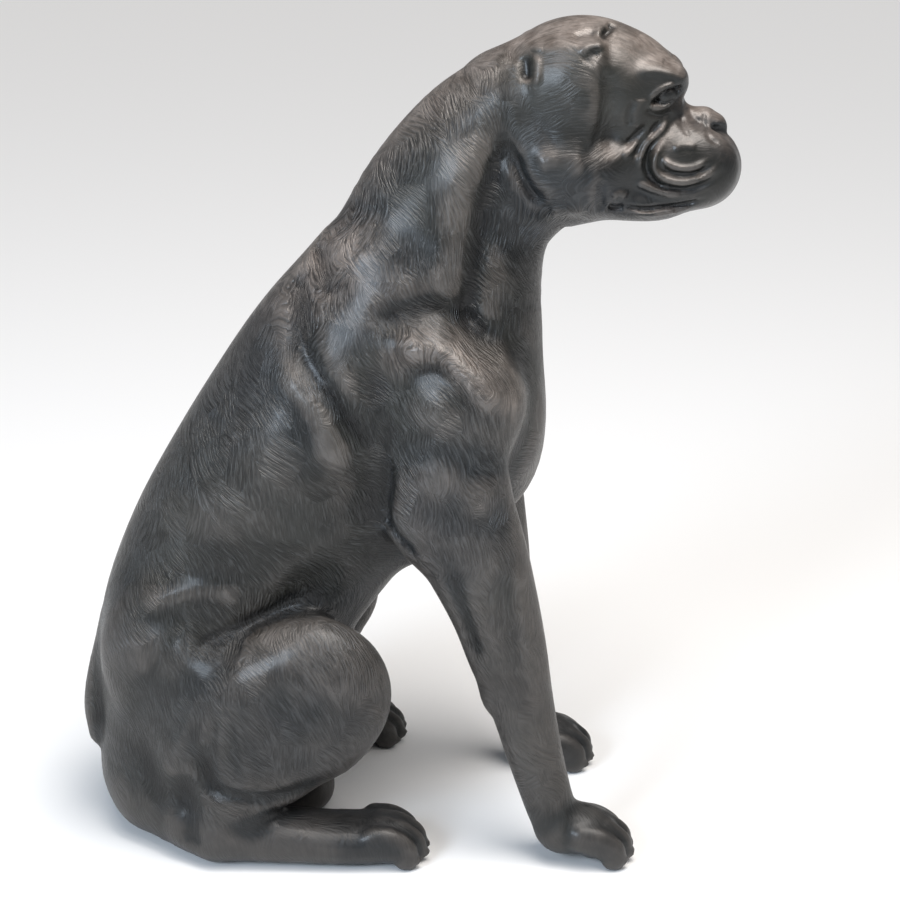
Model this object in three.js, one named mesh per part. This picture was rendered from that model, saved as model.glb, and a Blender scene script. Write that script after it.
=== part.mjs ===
// A life-size boxer dog, sitting upright with its head turned straight ahead, cast in iron in one piece.
// Millimetres, +Z up. The dog faces +X and its right side is toward -Y.
// The origin is the middle of the space it takes on the floor, at floor level.
import * as THREE from 'three';

// Driving sizes. The tables of stations are drawn for a dog 832 mm tall and grow with HEIGHT.
const HEIGHT = 832;
const DRAWN_HEIGHT = 832;
const CELL = 5;
const SOLE_REACH = 1.5;
const ROOM = 30;
const TRIANGLES = 9600;

const EAR_THICKNESS = 5;
const TOE_ACROSS = [25, 8.5, -8.5, -25];
const TOE_SETBACK = [-8, 0, 0, -8];
const FORE_TOE_TIP = 173;
const HIND_TOE_TIP = -35;
const STANCE_HALF_WIDTH = 102;

// The far legs stand a little behind the near ones and the far hind foot is set wider.
const FAR_FORE = [-30, 0];
const FAR_HIND = [-27, 58];
const FAR_TOP = 333;
const FAR_KNEE_TOP = 150;

// Each limb is a run of oval stations: x, y, z of the middle, its radius seen from the side, its half width.
// The number after the name is how far the limb melts into what is already there.
const BODY = [
  ['trunk', 1, [
    [-260, 0, 97, 102, 92], [-240, 0, 193, 121, 96], [-206, 0, 278, 127, 93], [-152, 0, 364, 133, 102],
    [-94, 0, 443, 139, 107], [-50, 0, 515, 132, 98], [-17, 0, 591, 110, 78], [1, 0, 652, 89, 62],
    [31, 0, 703, 77, 56], [62, 0, 738, 67, 54]]],
  ['seat', 30, [[-315, 0, 46, 46, 52], [-288, 0, 50, 54, 72], [-206, 2, 32, 38, 56]]],
  ['breast', 36, [[29, 0, 513, 52, 58], [45, 0, 440, 50, 58], [27, 0, 384, 53, 54], [-28, 0, 338, 42, 56]]],
  ['throat', 20, [[56, 0, 620, 31, 38], [84, 0, 665, 44, 42], [118, 0, 679, 44, 44]]],
  ['tail', 10,
    [[-341, 0, 219, 14, 19], [-356, 0, 173, 15, 17], [-365, 0, 126, 15, 15], [-364, 0, 90, 13, 14]]],
  ['groin', 26, [[-140, 4, 183, 34, 32], [-156, 4, 105, 32, 30], [-152, 6, 24, 30, 30]]],
  ['muzzle', 20, [[168, 0, 705, 48, 46], [206, 0, 700, 45, 46], [237, 0, 690, 40, 43]]],
  ['bridge', 10, [[203, 0, 737, 13, 18], [238, 0, 734, 12, 15]]],
  ['nose', 5, [[241, 0, 733, 14.5, 17], [250, 0, 731, 14, 17]]],
  ['jaw', 12, [[130, 0, 668, 27, 44], [198, 0, 661, 22, 42], [236, 0, 673, 19, 30]]],
];
const BODY_EGGS = [
  ['skull', 16, [124, 0, 767], [80, 62, 65]],
  ['forehead', 14, [168, 0, 760], [51, 48, 52.5]],
];

// The same for the near side; the far side repeats it.
const SIDE = [
  ['shoulder', 36,
    [[-66, 40, 612, 26, 18], [-42, 56, 574, 42, 26], [-8, 74, 519, 48, 31], [20, 84, 479, 44, 34]]],
  ['upper arm', 30, [[20, 86, 479, 44, 34], [2, 94, 423, 50, 34], [-8, 98, 365, 48, 32]]],
  ['cheek', 18, [[98, 28, 699, 52, 36], [132, 32, 695, 36, 32]]],
  ['foreleg', 18, [
    [4, 98, 378, 58, 31], [25, 99, 326, 51, 32], [43, 100, 275, 44, 30], [57, 101, 224, 39, 27],
    [71, 101, 172, 32, 24], [84, 102, 119, 28, 23], [99, 102, 65, 25, 23], [109, 102, 40, 25, 25]]],
  ['fore paw', 10, [[115, 102, 34, 26, 27], [134, 102, 33, 25, 30], [145, 102, 28, 24, 31]]],
  ['thigh', 30, [[-262, 56, 203, 82, 38], [-205, 95, 169, 80, 45], [-141, 106, 184, 83, 42]]],
  ['buttock', 30, [[-300, 48, 44, 40, 38], [-262, 80, 38, 38, 32]]],
  ['calf', 26, [[-150, 103, 143, 58, 34], [-210, 104, 73, 42, 31], [-236, 104, 40, 36, 30]]],
  ['foot', 12, [
    [-230, 104, 32, 30, 31], [-150, 105, 27, 27, 32], [-100, 105, 25, 26, 33], [-72, 104, 25, 25, 33],
    [-60, 103, 23, 23, 33]]],
];
const SIDE_EGGS = [
  ['brow', 14, [193, 24, 775], [28, 24, 21]],
  ['flew', 10, [223, 26, 693], [47, 25, 39]],
  ['pectoral', 20, [42, 34, 443], [44, 34, 62]],
  ['heel of the wrist', 10, [40, 101, 187], [13, 13, 20]],
];

// One toe as stations measured from its tip on the floor line: along x, height, sagittal radius, half width.
const TOE = [[-33, 34, 13, 9], [-18, 31, 14.5, 9.5], [-5, 22, 14.5, 9.5], [-1, 13, 13, 9]];
const CLAW = [[3, 17, 6, 5], [10, 11, 4.5, 3.8], [13, 8, 3.4, 3]];

// Swellings of muscle and bone: height, middle, reach along x, y, z.
const SWELLINGS = [
  ['rib barrel', 9, [-178, 96, 423], [62, 60, 58]],
  ['last ribs', 7, [-230, 90, 365], [48, 60, 40]],
  ['point of shoulder', 5, [-19, 112, 484], [30, 50, 26]],
  ['triceps', 5, [-10, 120, 420], [28, 50, 22]],
  ['upper arm front', 5, [28, 112, 402], [18, 50, 22]],
  ['forearm', 5, [30, 120, 343], [26, 40, 34]],
  ['knee', 5, [-96, 140, 215], [34, 40, 34]],
  ['haunch', 8, [-290, 80, 223], [44, 60, 34]],
  ['neck', 6, [0, 60, 683], [34, 50, 48]],
  ['jaw muscle', 4, [108, 62, 683], [34, 30, 26]],
];

// Folds and creases on the side of the body: height, half width, inner y from which they show, and the line
// that they follow in x and z. A height below nought is a crease.
const FOLDS = [
  ['flew inner fold', 3, 5, 22, [[197, 709], [201, 704], [209, 700], [223, 700], [238, 704]]],
  ['flew outer fold', 4.5, 5, 22,
    [[206, 741], [197, 728], [191, 714], [188, 700], [194, 691], [206, 688], [224, 690], [243, 699]]],
  ['flew edge crease', -6, 5.5, 22,
    [[204, 748], [193, 736], [184, 722], [179, 708], [180, 693], [190, 680], [210, 674], [233, 676], [251, 685]]],
  ['cheek fold', 4, 5, 22, [[200, 749], [190, 738], [180, 725], [170, 715], [161, 710]]],
  ['cheek crease', -4, 5, 22, [[186, 720], [176, 709], [164, 700]]],
  ['cheek hollow', -3, 7, 22, [[168, 757], [162, 745], [159, 731]]],
  ['tear fold', -3.5, 4, 20, [[213, 760], [210, 750], [205, 743]]],
  ['brow ridge', 3, 6, 20, [[176, 786], [188, 785], [200, 781], [209, 776]]],
  ['under the brow', -3.5, 5, 20, [[168, 776], [180, 778], [190, 776]]],
  ['mouth', -6, 3.6, 20, [[152, 660], [166, 657], [182, 657], [200, 658], [222, 659], [240, 664]]],
  ['corner of the mouth', -6, 6, 22, [[146, 683], [143, 672], [147, 660]]],
  ['lower lip', 3.5, 5, 22, [[164, 683], [176, 680], [190, 675], [206, 671]]],
  ['jaw crease', -7, 8, 22, [[62, 728], [64, 713], [68, 697], [77, 681], [90, 665]]],
  ['top of the cheek', 3.5, 8, 22, [[78, 701], [94, 707], [110, 710], [123, 716]]],
  ['temple', -4, 12, 20, [[150, 803], [166, 798]]],
  ['before the ear', -4, 9, 24, [[146, 763], [144, 738], [143, 713], [142, 693]]],
  ['neck groove', -9, 12, 15,
    [[60, 728], [51, 718], [38, 690], [30, 657], [23, 613], [17, 569], [18, 535]]],
  ['neck muscle', 6, 22, 15, [[34, 738], [16, 690], [8, 657], [1, 613], [-6, 578]]],
  ['shoulder ridge', 9, 13, 40,
    [[-50, 538], [-36, 548], [-19, 552], [0, 544], [19, 528], [37, 508], [58, 496]]],
  ['over the shoulder', -7, 20, 40, [[-80, 553], [-60, 575], [-20, 589], [10, 571], [40, 541]]],
  ['elbow crease', -7, 6, 60, [[-60, 450], [-58, 405], [-60, 376], [-52, 359], [-40, 348], [-30, 333]]],
  ['behind the arm', -8, 18, 70, [[-62, 533], [-73, 487], [-74, 437], [-77, 386], [-82, 345]]],
  ['edge of the blade', -7, 14, 30,
    [[-132, 616], [-140, 582], [-139, 543], [-130, 512], [-109, 486], [-93, 459], [-87, 428]]],
  ['hollow of the withers', -5, 11, 20, [[-124, 619], [-120, 599], [-116, 572]]],
  ['rib edge', 5, 15, 60, [[-168, 509], [-143, 500], [-124, 478], [-112, 450], [-108, 415]]],
  ['flank', -7, 16, 50, [[-264, 252], [-230, 243], [-201, 246], [-171, 265], [-136, 294], [-97, 326]]],
  ['waist roll', 5, 14, 50, [[-315, 270], [-272, 284], [-233, 290], [-194, 282]]],
  ['above the thigh', -6, 9, 60,
    [[-250, 232], [-237, 239], [-208, 251], [-182, 262], [-159, 275], [-138, 284]]],
  ['under the thigh', -5, 9, 90,
    [[-245, 150], [-241, 112], [-228, 90], [-187, 84], [-153, 90], [-118, 106]]],
  ['hock hollow', -7, 15, 80, [[-270, 108], [-262, 76], [-257, 42], [-258, 20]]],
  ['over the foot', -4, 9, 90, [[-200, 66], [-160, 60], [-120, 52], [-90, 54], [-68, 58]]],
  ['forearm groove', -4, 8, 100, [[0, 328], [8, 301], [20, 258], [29, 226]]],
  ['forearm edge', 3, 8, 100, [[64, 343], [70, 293], [75, 243], [86, 183]]],
];

// Hollows cut with a soft edge, and the eyeball set back into its hollow.
const HOLLOWS = [
  ['eye socket', 5, [[195, 46, 764, 10, 9], [206, 36, 763, 8, 9]]],
  ['nostril', 3, [[250, 13, 728, 4, 4], [262, 11, 726, 4.5, 4.5]]],
  ['lip pocket', 4, [[148, 48, 661, 4, 8], [166, 48, 661, 4, 8]]],
  ['philtrum', 4, [[277, 0, 712, 4, 3], [281, 0, 690, 5, 3], [276, 0, 668, 5, 3]]],
];
const EYEBALL = ['eyeball', 1.5, [[193, 36, 763, 12, 12], [195, 35, 763, 12, 12]]];

// The ear flap folds down over the side of the head: its edge in x and z, and the roll along its top.
const EAR_EDGE = [
  [60, 792], [66, 803], [86, 806], [108, 810], [128, 818], [141, 812], [142, 795], [138, 768], [132, 738],
  [121, 718], [106, 717], [90, 735], [74, 762], [62, 780]];
const EAR_ROLL = [[68, 794], [90, 797], [112, 801], [131, 807]];

function spline(stations, steps) {
  // Catmull-Rom run through the stations, with the ends carried on straight.
  const n = stations.length;
  const at = (i) => {
    if (i < 0) return stations[0].map((v, k) => 2 * v - stations[1][k]);
    if (i >= n) return stations[n - 1].map((v, k) => 2 * v - stations[n - 2][k]);
    return stations[i];
  };
  return (u) => {
    const i = Math.min(Math.max(Math.floor(u), 0), n - 2);
    const t = u - i;
    const [a, b, c, d] = [at(i - 1), at(i), at(i + 1), at(i + 2)];
    return b.map((v, k) => 0.5 * (2 * v + (c[k] - a[k]) * t
      + (2 * a[k] - 5 * v + 4 * c[k] - d[k]) * t * t + (3 * v - a[k] - 3 * c[k] + d[k]) * t * t * t));
  };
}

function makeLimb([name, blend, stations]) {
  // Stations closely spaced along the spline, and the box beyond which the limb has no say.
  const curve = spline(stations, 1);
  const rows = [];
  const count = (stations.length - 1) * 6;
  for (let i = 0; i <= count; i++) rows.push(curve(i / 6));
  const reach = Math.max(blend, 10) + 30;
  const low = [0, 1, 2].map((k) => Math.min(...rows.map((r) => r[k] - Math.max(r[3], r[4]))) - reach);
  const high = [0, 1, 2].map((k) => Math.max(...rows.map((r) => r[k] + Math.max(r[3], r[4]))) + reach);
  return { name, blend, rows: rows.map((r) => Float64Array.from(r)), low, high };
}

function ovalDistance(sagittal, lateral, r, w) {
  const k0 = Math.sqrt(sagittal / (r * r) + lateral / (w * w));
  if (k0 < 0.05) return -Math.min(r, w);
  const k1 = Math.sqrt(sagittal / (r * r * r * r) + lateral / (w * w * w * w));
  return k0 * (k0 - 1) / k1;
}

function limbDistance(limb, x, y, z) {
  // Nearest point of the middle line, found on its short pieces, then the oval there.
  let best = Infinity;
  let row = 0;
  let share = 0;
  const rows = limb.rows;
  for (let i = 0; i + 1 < rows.length; i++) {
    const a = rows[i];
    const b = rows[i + 1];
    const ux = b[0] - a[0];
    const uy = b[1] - a[1];
    const uz = b[2] - a[2];
    const length = ux * ux + uy * uy + uz * uz;
    const t = Math.min(Math.max(((x - a[0]) * ux + (y - a[1]) * uy + (z - a[2]) * uz) / length, 0), 1);
    const dx = x - a[0] - t * ux;
    const dy = y - a[1] - t * uy;
    const dz = z - a[2] - t * uz;
    const d = dx * dx + dy * dy + dz * dz;
    if (d < best) {
      best = d;
      row = i;
      share = t;
    }
  }
  const a = rows[row];
  const b = rows[row + 1];
  const dx = x - a[0] - share * (b[0] - a[0]);
  const dy = y - a[1] - share * (b[1] - a[1]);
  const dz = z - a[2] - share * (b[2] - a[2]);
  const r = a[3] + share * (b[3] - a[3]);
  const w = a[4] + share * (b[4] - a[4]);
  return ovalDistance(dx * dx + dz * dz, dy * dy, r, w);
}

function eggDistance([, , c, r], x, y, z) {
  const qx = x - c[0];
  const qy = y - c[1];
  const qz = z - c[2];
  const k0 = Math.sqrt((qx / r[0]) ** 2 + (qy / r[1]) ** 2 + (qz / r[2]) ** 2);
  if (k0 < 0.05) return -Math.min(...r);
  const k1 = Math.sqrt((qx / r[0] ** 2) ** 2 + (qy / r[1] ** 2) ** 2 + (qz / r[2] ** 2) ** 2);
  return k0 * (k0 - 1) / k1;
}

function join(a, b, blend) {
  const h = Math.max(blend - Math.abs(a - b), 0) / blend;
  return Math.min(a, b) - h * h * blend / 4;
}

function cut(a, b, blend) {
  return -join(-a, b, blend);
}

function lineDistance(points, x, z) {
  let best = Infinity;
  for (let i = 0; i + 1 < points.length; i++) {
    const [ax, az] = points[i];
    const ux = points[i + 1][0] - ax;
    const uz = points[i + 1][1] - az;
    const t = Math.min(Math.max(((x - ax) * ux + (z - az) * uz) / (ux * ux + uz * uz), 0), 1);
    best = Math.min(best, (x - ax - t * ux) ** 2 + (z - az - t * uz) ** 2);
  }
  return Math.sqrt(best);
}

function insideEdge(edge, x, z) {
  // Distance to a closed edge, below nought inside it.
  let inside = false;
  for (let i = 0; i < edge.length; i++) {
    const [ax, az] = edge[i];
    const [bx, bz] = edge[(i + 1) % edge.length];
    if ((az > z) !== (bz > z) && x < ax + (z - az) * (bx - ax) / (bz - az)) inside = !inside;
  }
  const d = lineDistance([...edge, edge[0]], x, z);
  return inside ? -d : d;
}

function toes() {
  // Four toes and claws on each foot, the middle two longer.
  const limbs = [];
  for (const [paw, tip] of [['fore', FORE_TOE_TIP], ['hind', HIND_TOE_TIP]]) {
    TOE_ACROSS.forEach((across, i) => {
      const row = ([along, up, r, w]) => [tip + TOE_SETBACK[i] + along, STANCE_HALF_WIDTH + across, up, r, w];
      limbs.push([`${paw} toe ${i}`, 6, TOE.map(row)]);
      limbs.push([`${paw} claw ${i}`, 2, CLAW.map(row)]);
    });
  }
  return limbs;
}

const bodyLimbs = BODY.map(makeLimb);
const sideLimbs = [...SIDE, ...toes()].map(makeLimb);
const hollowLimbs = HOLLOWS.map(makeLimb);
const eyeballLimb = makeLimb(EYEBALL);
const foldBoxes = FOLDS.map(([, , width, inner, line]) => {
  const xs = line.map((p) => p[0]);
  const zs = line.map((p) => p[1]);
  const pad = 2.4 * width;
  return [Math.min(...xs) - pad, Math.max(...xs) + pad, Math.min(...zs) - pad, Math.max(...zs) + pad, inner - 8];
});

function within(limb, x, y, z) {
  return x > limb.low[0] && x < limb.high[0] && y > limb.low[1] && y < limb.high[1]
    && z > limb.low[2] && z < limb.high[2];
}

function nearSide(x, y, z) {
  // Any point carried to the near side's pattern, undoing the far feet's own places.
  const far = Math.min(Math.max(y / 60, 0), 1);
  const low = Math.min(Math.max(1 - z / FAR_TOP, 0), 1) * far;
  const back = Math.min(Math.max(2 - z / FAR_KNEE_TOP, 0), 1) * far * Math.min(Math.max((x + 310) / 130, 0), 1);
  const front = Math.min(Math.max((x + 30) / 30, 0), 1);
  const dx = FAR_HIND[0] * back + front * (FAR_FORE[0] * low - FAR_HIND[0] * back);
  const dy = FAR_HIND[1] + front * (FAR_FORE[1] - FAR_HIND[1]);
  return [x - dx, Math.abs(y) - dy * low];
}

function earFlap(head, x, y, z) {
  // A flap of even thickness that lies on the head, thicker along the roll at its top.
  const roll = 5 * Math.exp(-((lineDistance(EAR_ROLL, x, z) / 10) ** 2));
  const front = 3 * Math.exp(-(((x - 138 + (800 - z) * 0.12) / 7) ** 2));
  return cut(insideEdge(EAR_EDGE, x, z), -(head - EAR_THICKNESS - roll - front), 5);
}

function dogField(x, y, z) {
  // Below nought inside the metal, in the drawing's millimetres.
  const [sx, sy] = nearSide(x, y, z);
  let d = 200;
  for (const limb of bodyLimbs) {
    if (within(limb, x, y, z)) d = join(d, limbDistance(limb, x, y, z), limb.blend);
  }
  for (const egg of BODY_EGGS) d = join(d, eggDistance(egg, x, y, z), egg[1]);
  for (const limb of sideLimbs) {
    if (within(limb, sx, sy, z)) d = join(d, limbDistance(limb, sx, sy, z), limb.blend);
  }
  for (const egg of SIDE_EGGS) d = join(d, eggDistance(egg, sx, sy, z), egg[1]);
  if (Math.abs(d) < 40) {
    for (const [, height, c, r] of SWELLINGS) {
      const q = ((sx - c[0]) / r[0]) ** 2 + ((sy - c[1]) / r[1]) ** 2 + ((z - c[2]) / r[2]) ** 2;
      if (q < 5) d -= height * Math.exp(-q);
    }
    FOLDS.forEach(([, height, width, , line], i) => {
      const box = foldBoxes[i];
      if (sx < box[0] || sx > box[1] || z < box[2] || z > box[3] || sy < box[4]) return;
      const q = lineDistance(line, sx, z) / width;
      d -= height * Math.exp(-q * q) * Math.min((sy - box[4]) / 8, 1);
    });
    if (z > 690 && x > 40 && x < 165 && sy > 20) d = join(d, earFlap(d, sx, sy, z), 3);
    for (const limb of hollowLimbs) {
      if (within(limb, sx, sy, z)) d = cut(d, limbDistance(limb, sx, sy, z), limb.blend);
    }
    if (within(eyeballLimb, sx, sy, z)) d = join(d, limbDistance(eyeballLimb, sx, sy, z), eyeballLimb.blend);
  }
  return Math.max(d, -z);
}

function furthestCorner() {
  // Beyond the reach of every limb and egg, with the far feet's own place and some room to spare.
  const limbEnds = [...BODY, ...SIDE].flatMap(([, , stations]) => (
    stations.map(([x, y, z, r, w]) => [x + r, y + w, z + r])));
  const eggEnds = [...BODY_EGGS, ...SIDE_EGGS].map(([, , c, r]) => c.map((v, k) => v + r[k]));
  const ends = [...limbEnds, ...eggEnds];
  const moved = [0, Math.max(FAR_HIND[1], 0), 0];
  return moved.map((shift, k) => Math.max(...ends.map((e) => e[k])) + shift + ROOM);
}

const LOW = [-400, -190, -1.5 * CELL];
const HIGH = furthestCorner();

function sampleField(step) {
  // Field on a grid. Every fourth node first, then all nodes of the blocks that the surface crosses.
  const blocks = LOW.map((low, k) => Math.ceil((HIGH[k] - low) / (4 * step)));
  const size = blocks.map((b) => 4 * b + 1);
  const at = (i, j, k) => (i * size[1] + j) * size[2] + k;
  const values = new Float32Array(size[0] * size[1] * size[2]).fill(1e3);
  const node = (i, j, k) => dogField(LOW[0] + i * step, LOW[1] + j * step, LOW[2] + k * step);
  for (let i = 0; i < size[0]; i += 4) {
    for (let j = 0; j < size[1]; j += 4) {
      for (let k = 0; k < size[2]; k += 4) values[at(i, j, k)] = node(i, j, k);
    }
  }
  const coarse = values.slice();
  for (let bi = 0; bi < blocks[0]; bi++) {
    for (let bj = 0; bj < blocks[1]; bj++) {
      for (let bk = 0; bk < blocks[2]; bk++) {
        let nearest = Infinity;
        let sign = 0;
        for (let c = 0; c < 8; c++) {
          const v = coarse[at(4 * (bi + (c & 1)), 4 * (bj + ((c >> 1) & 1)), 4 * (bk + (c >> 2)))];
          nearest = Math.min(nearest, Math.abs(v));
          sign += v < 0 ? 1 : 0;
        }
        const close = nearest < 7.6 * step || (sign > 0 && sign < 8);
        for (let i = 4 * bi; i <= 4 * bi + 4; i++) {
          for (let j = 4 * bj; j <= 4 * bj + 4; j++) {
            for (let k = 4 * bk; k <= 4 * bk + 4; k++) {
              const n = at(i, j, k);
              if (coarse[n] !== 1e3 || Math.abs(values[n]) < 900) continue;
              values[n] = close ? node(i, j, k) : (sign === 8 ? -999 : 1e3);
            }
          }
        }
      }
    }
  }
  return { values, size, at };
}

function wholeMasks() {
  // Of the 256 ways to fill a cell's corners, those whose metal and whose air are each in one piece.
  const pieces = (mask) => {
    let left = mask;
    let count = 0;
    while (left) {
      let piece = left & -left;
      for (let grown = 0; grown !== piece;) {
        grown = piece;
        for (let c = 0; c < 8; c++) {
          if (piece & (1 << c)) piece |= left & ((1 << (c ^ 1)) | (1 << (c ^ 2)) | (1 << (c ^ 4)));
        }
      }
      left &= ~piece;
      count++;
    }
    return count;
  };
  return Array.from({ length: 256 }, (_, mask) => pieces(mask) < 2 && pieces(~mask & 255) < 2);
}

function mendPinches({ values, size, at }) {
  // Where two sheets of the surface would meet in a cell, the emptiest corner is filled until they don't.
  const whole = wholeMasks();
  let changed = true;
  while (changed) {
    changed = false;
    for (let i = 0; i + 1 < size[0]; i++) {
      for (let j = 0; j + 1 < size[1]; j++) {
        for (let k = 0; k + 1 < size[2]; k++) {
          let mask = 0;
          for (let c = 0; c < 8; c++) {
            if (values[at(i + (c & 1), j + ((c >> 1) & 1), k + (c >> 2))] < 0) mask |= 1 << c;
          }
          if (whole[mask]) continue;
          let nearest = -1;
          for (let c = 0; c < 8; c++) {
            const n = at(i + (c & 1), j + ((c >> 1) & 1), k + (c >> 2));
            if (values[n] >= 0 && (nearest < 0 || values[n] < values[nearest])) nearest = n;
          }
          values[nearest] = -0.1;
          changed = true;
        }
      }
    }
  }
}

function meshField(step) {
  // One point in each cell that the surface crosses, joined across each grid edge that it crosses.
  const grid = sampleField(step);
  mendPinches(grid);
  const { values, size, at } = grid;
  const points = [];
  const faces = [];
  const index = new Int32Array(values.length).fill(-1);
  const corners = [[0, 0, 0], [1, 0, 0], [0, 1, 0], [1, 1, 0], [0, 0, 1], [1, 0, 1], [0, 1, 1], [1, 1, 1]];
  const edges = [[0, 1], [2, 3], [4, 5], [6, 7], [0, 2], [1, 3], [4, 6], [5, 7], [0, 4], [1, 5], [2, 6], [3, 7]];
  for (let i = 0; i + 1 < size[0]; i++) {
    for (let j = 0; j + 1 < size[1]; j++) {
      for (let k = 0; k + 1 < size[2]; k++) {
        const v = corners.map(([a, b, c]) => values[at(i + a, j + b, k + c)]);
        let inside = 0;
        for (const value of v) inside += value < 0 ? 1 : 0;
        if (inside === 0 || inside === 8) continue;
        const sum = [0, 0, 0];
        let crossings = 0;
        for (const [a, b] of edges) {
          if ((v[a] < 0) === (v[b] < 0)) continue;
          const t = v[a] / (v[a] - v[b]);
          for (let m = 0; m < 3; m++) sum[m] += corners[a][m] + t * (corners[b][m] - corners[a][m]);
          crossings++;
        }
        index[at(i, j, k)] = points.length;
        points.push([i, j, k].map((n, m) => LOW[m] + step * (n + sum[m] / crossings)));
      }
    }
  }
  const span = [[1, 0, 0], [0, 1, 0], [0, 0, 1]];
  for (let i = 1; i + 1 < size[0]; i++) {
    for (let j = 1; j + 1 < size[1]; j++) {
      for (let k = 1; k + 1 < size[2]; k++) {
        const here = values[at(i, j, k)] < 0;
        for (let m = 0; m < 3; m++) {
          const [a, b, c] = span[m];
          if (here === values[at(i + a, j + b, k + c)] < 0) continue;
          const u = span[(m + 1) % 3];
          const w = span[(m + 2) % 3];
          const back = [0, 1, 2].map((n) => (s, t) => s * u[n] + t * w[n]);
          const cell = (s, t) => index[at(i - back[0](s, t), j - back[1](s, t), k - back[2](s, t))];
          const ring = [cell(1, 1), cell(0, 1), cell(0, 0), cell(1, 0)];
          if (!here) ring.reverse();
          const across = (p, q) => points[ring[p]].reduce((s, v, n) => s + (v - points[ring[q]][n]) ** 2, 0);
          if (across(0, 2) < across(1, 3)) faces.push([ring[0], ring[1], ring[2]], [ring[0], ring[2], ring[3]]);
          else faces.push([ring[0], ring[1], ring[3]], [ring[1], ring[2], ring[3]]);
        }
      }
    }
  }
  return { points, faces };
}

function settle(points) {
  // Each point moved on to the surface along the slope of the field. The sole is made quite flat.
  const h = 0.8;
  for (const p of points) {
    if (p[2] < SOLE_REACH) {
      p[2] = 0;
      continue;
    }
    const d = dogField(...p);
    const slope = [0, 1, 2].map((k) => {
      const q = [...p];
      q[k] += h;
      return (dogField(...q) - d) / h;
    });
    const size = slope.reduce((s, v) => s + v * v, 0);
    const move = Math.min(Math.max(d / Math.max(size, 0.2), -2), 2);
    for (let k = 0; k < 3; k++) p[k] -= move * slope[k];
    p[2] = Math.max(p[2], SOLE_REACH);
  }
}

function fineness(p) {
  // How much more a mistake counts at the face and the paws than on the trunk.
  if (p[2] > 640) return p[0] > 130 ? 12 : 5;
  if (p[2] < 75 && (p[0] > 90 || Math.abs(p[0] + 60) < 50)) return 5;
  return 1;
}

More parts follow.
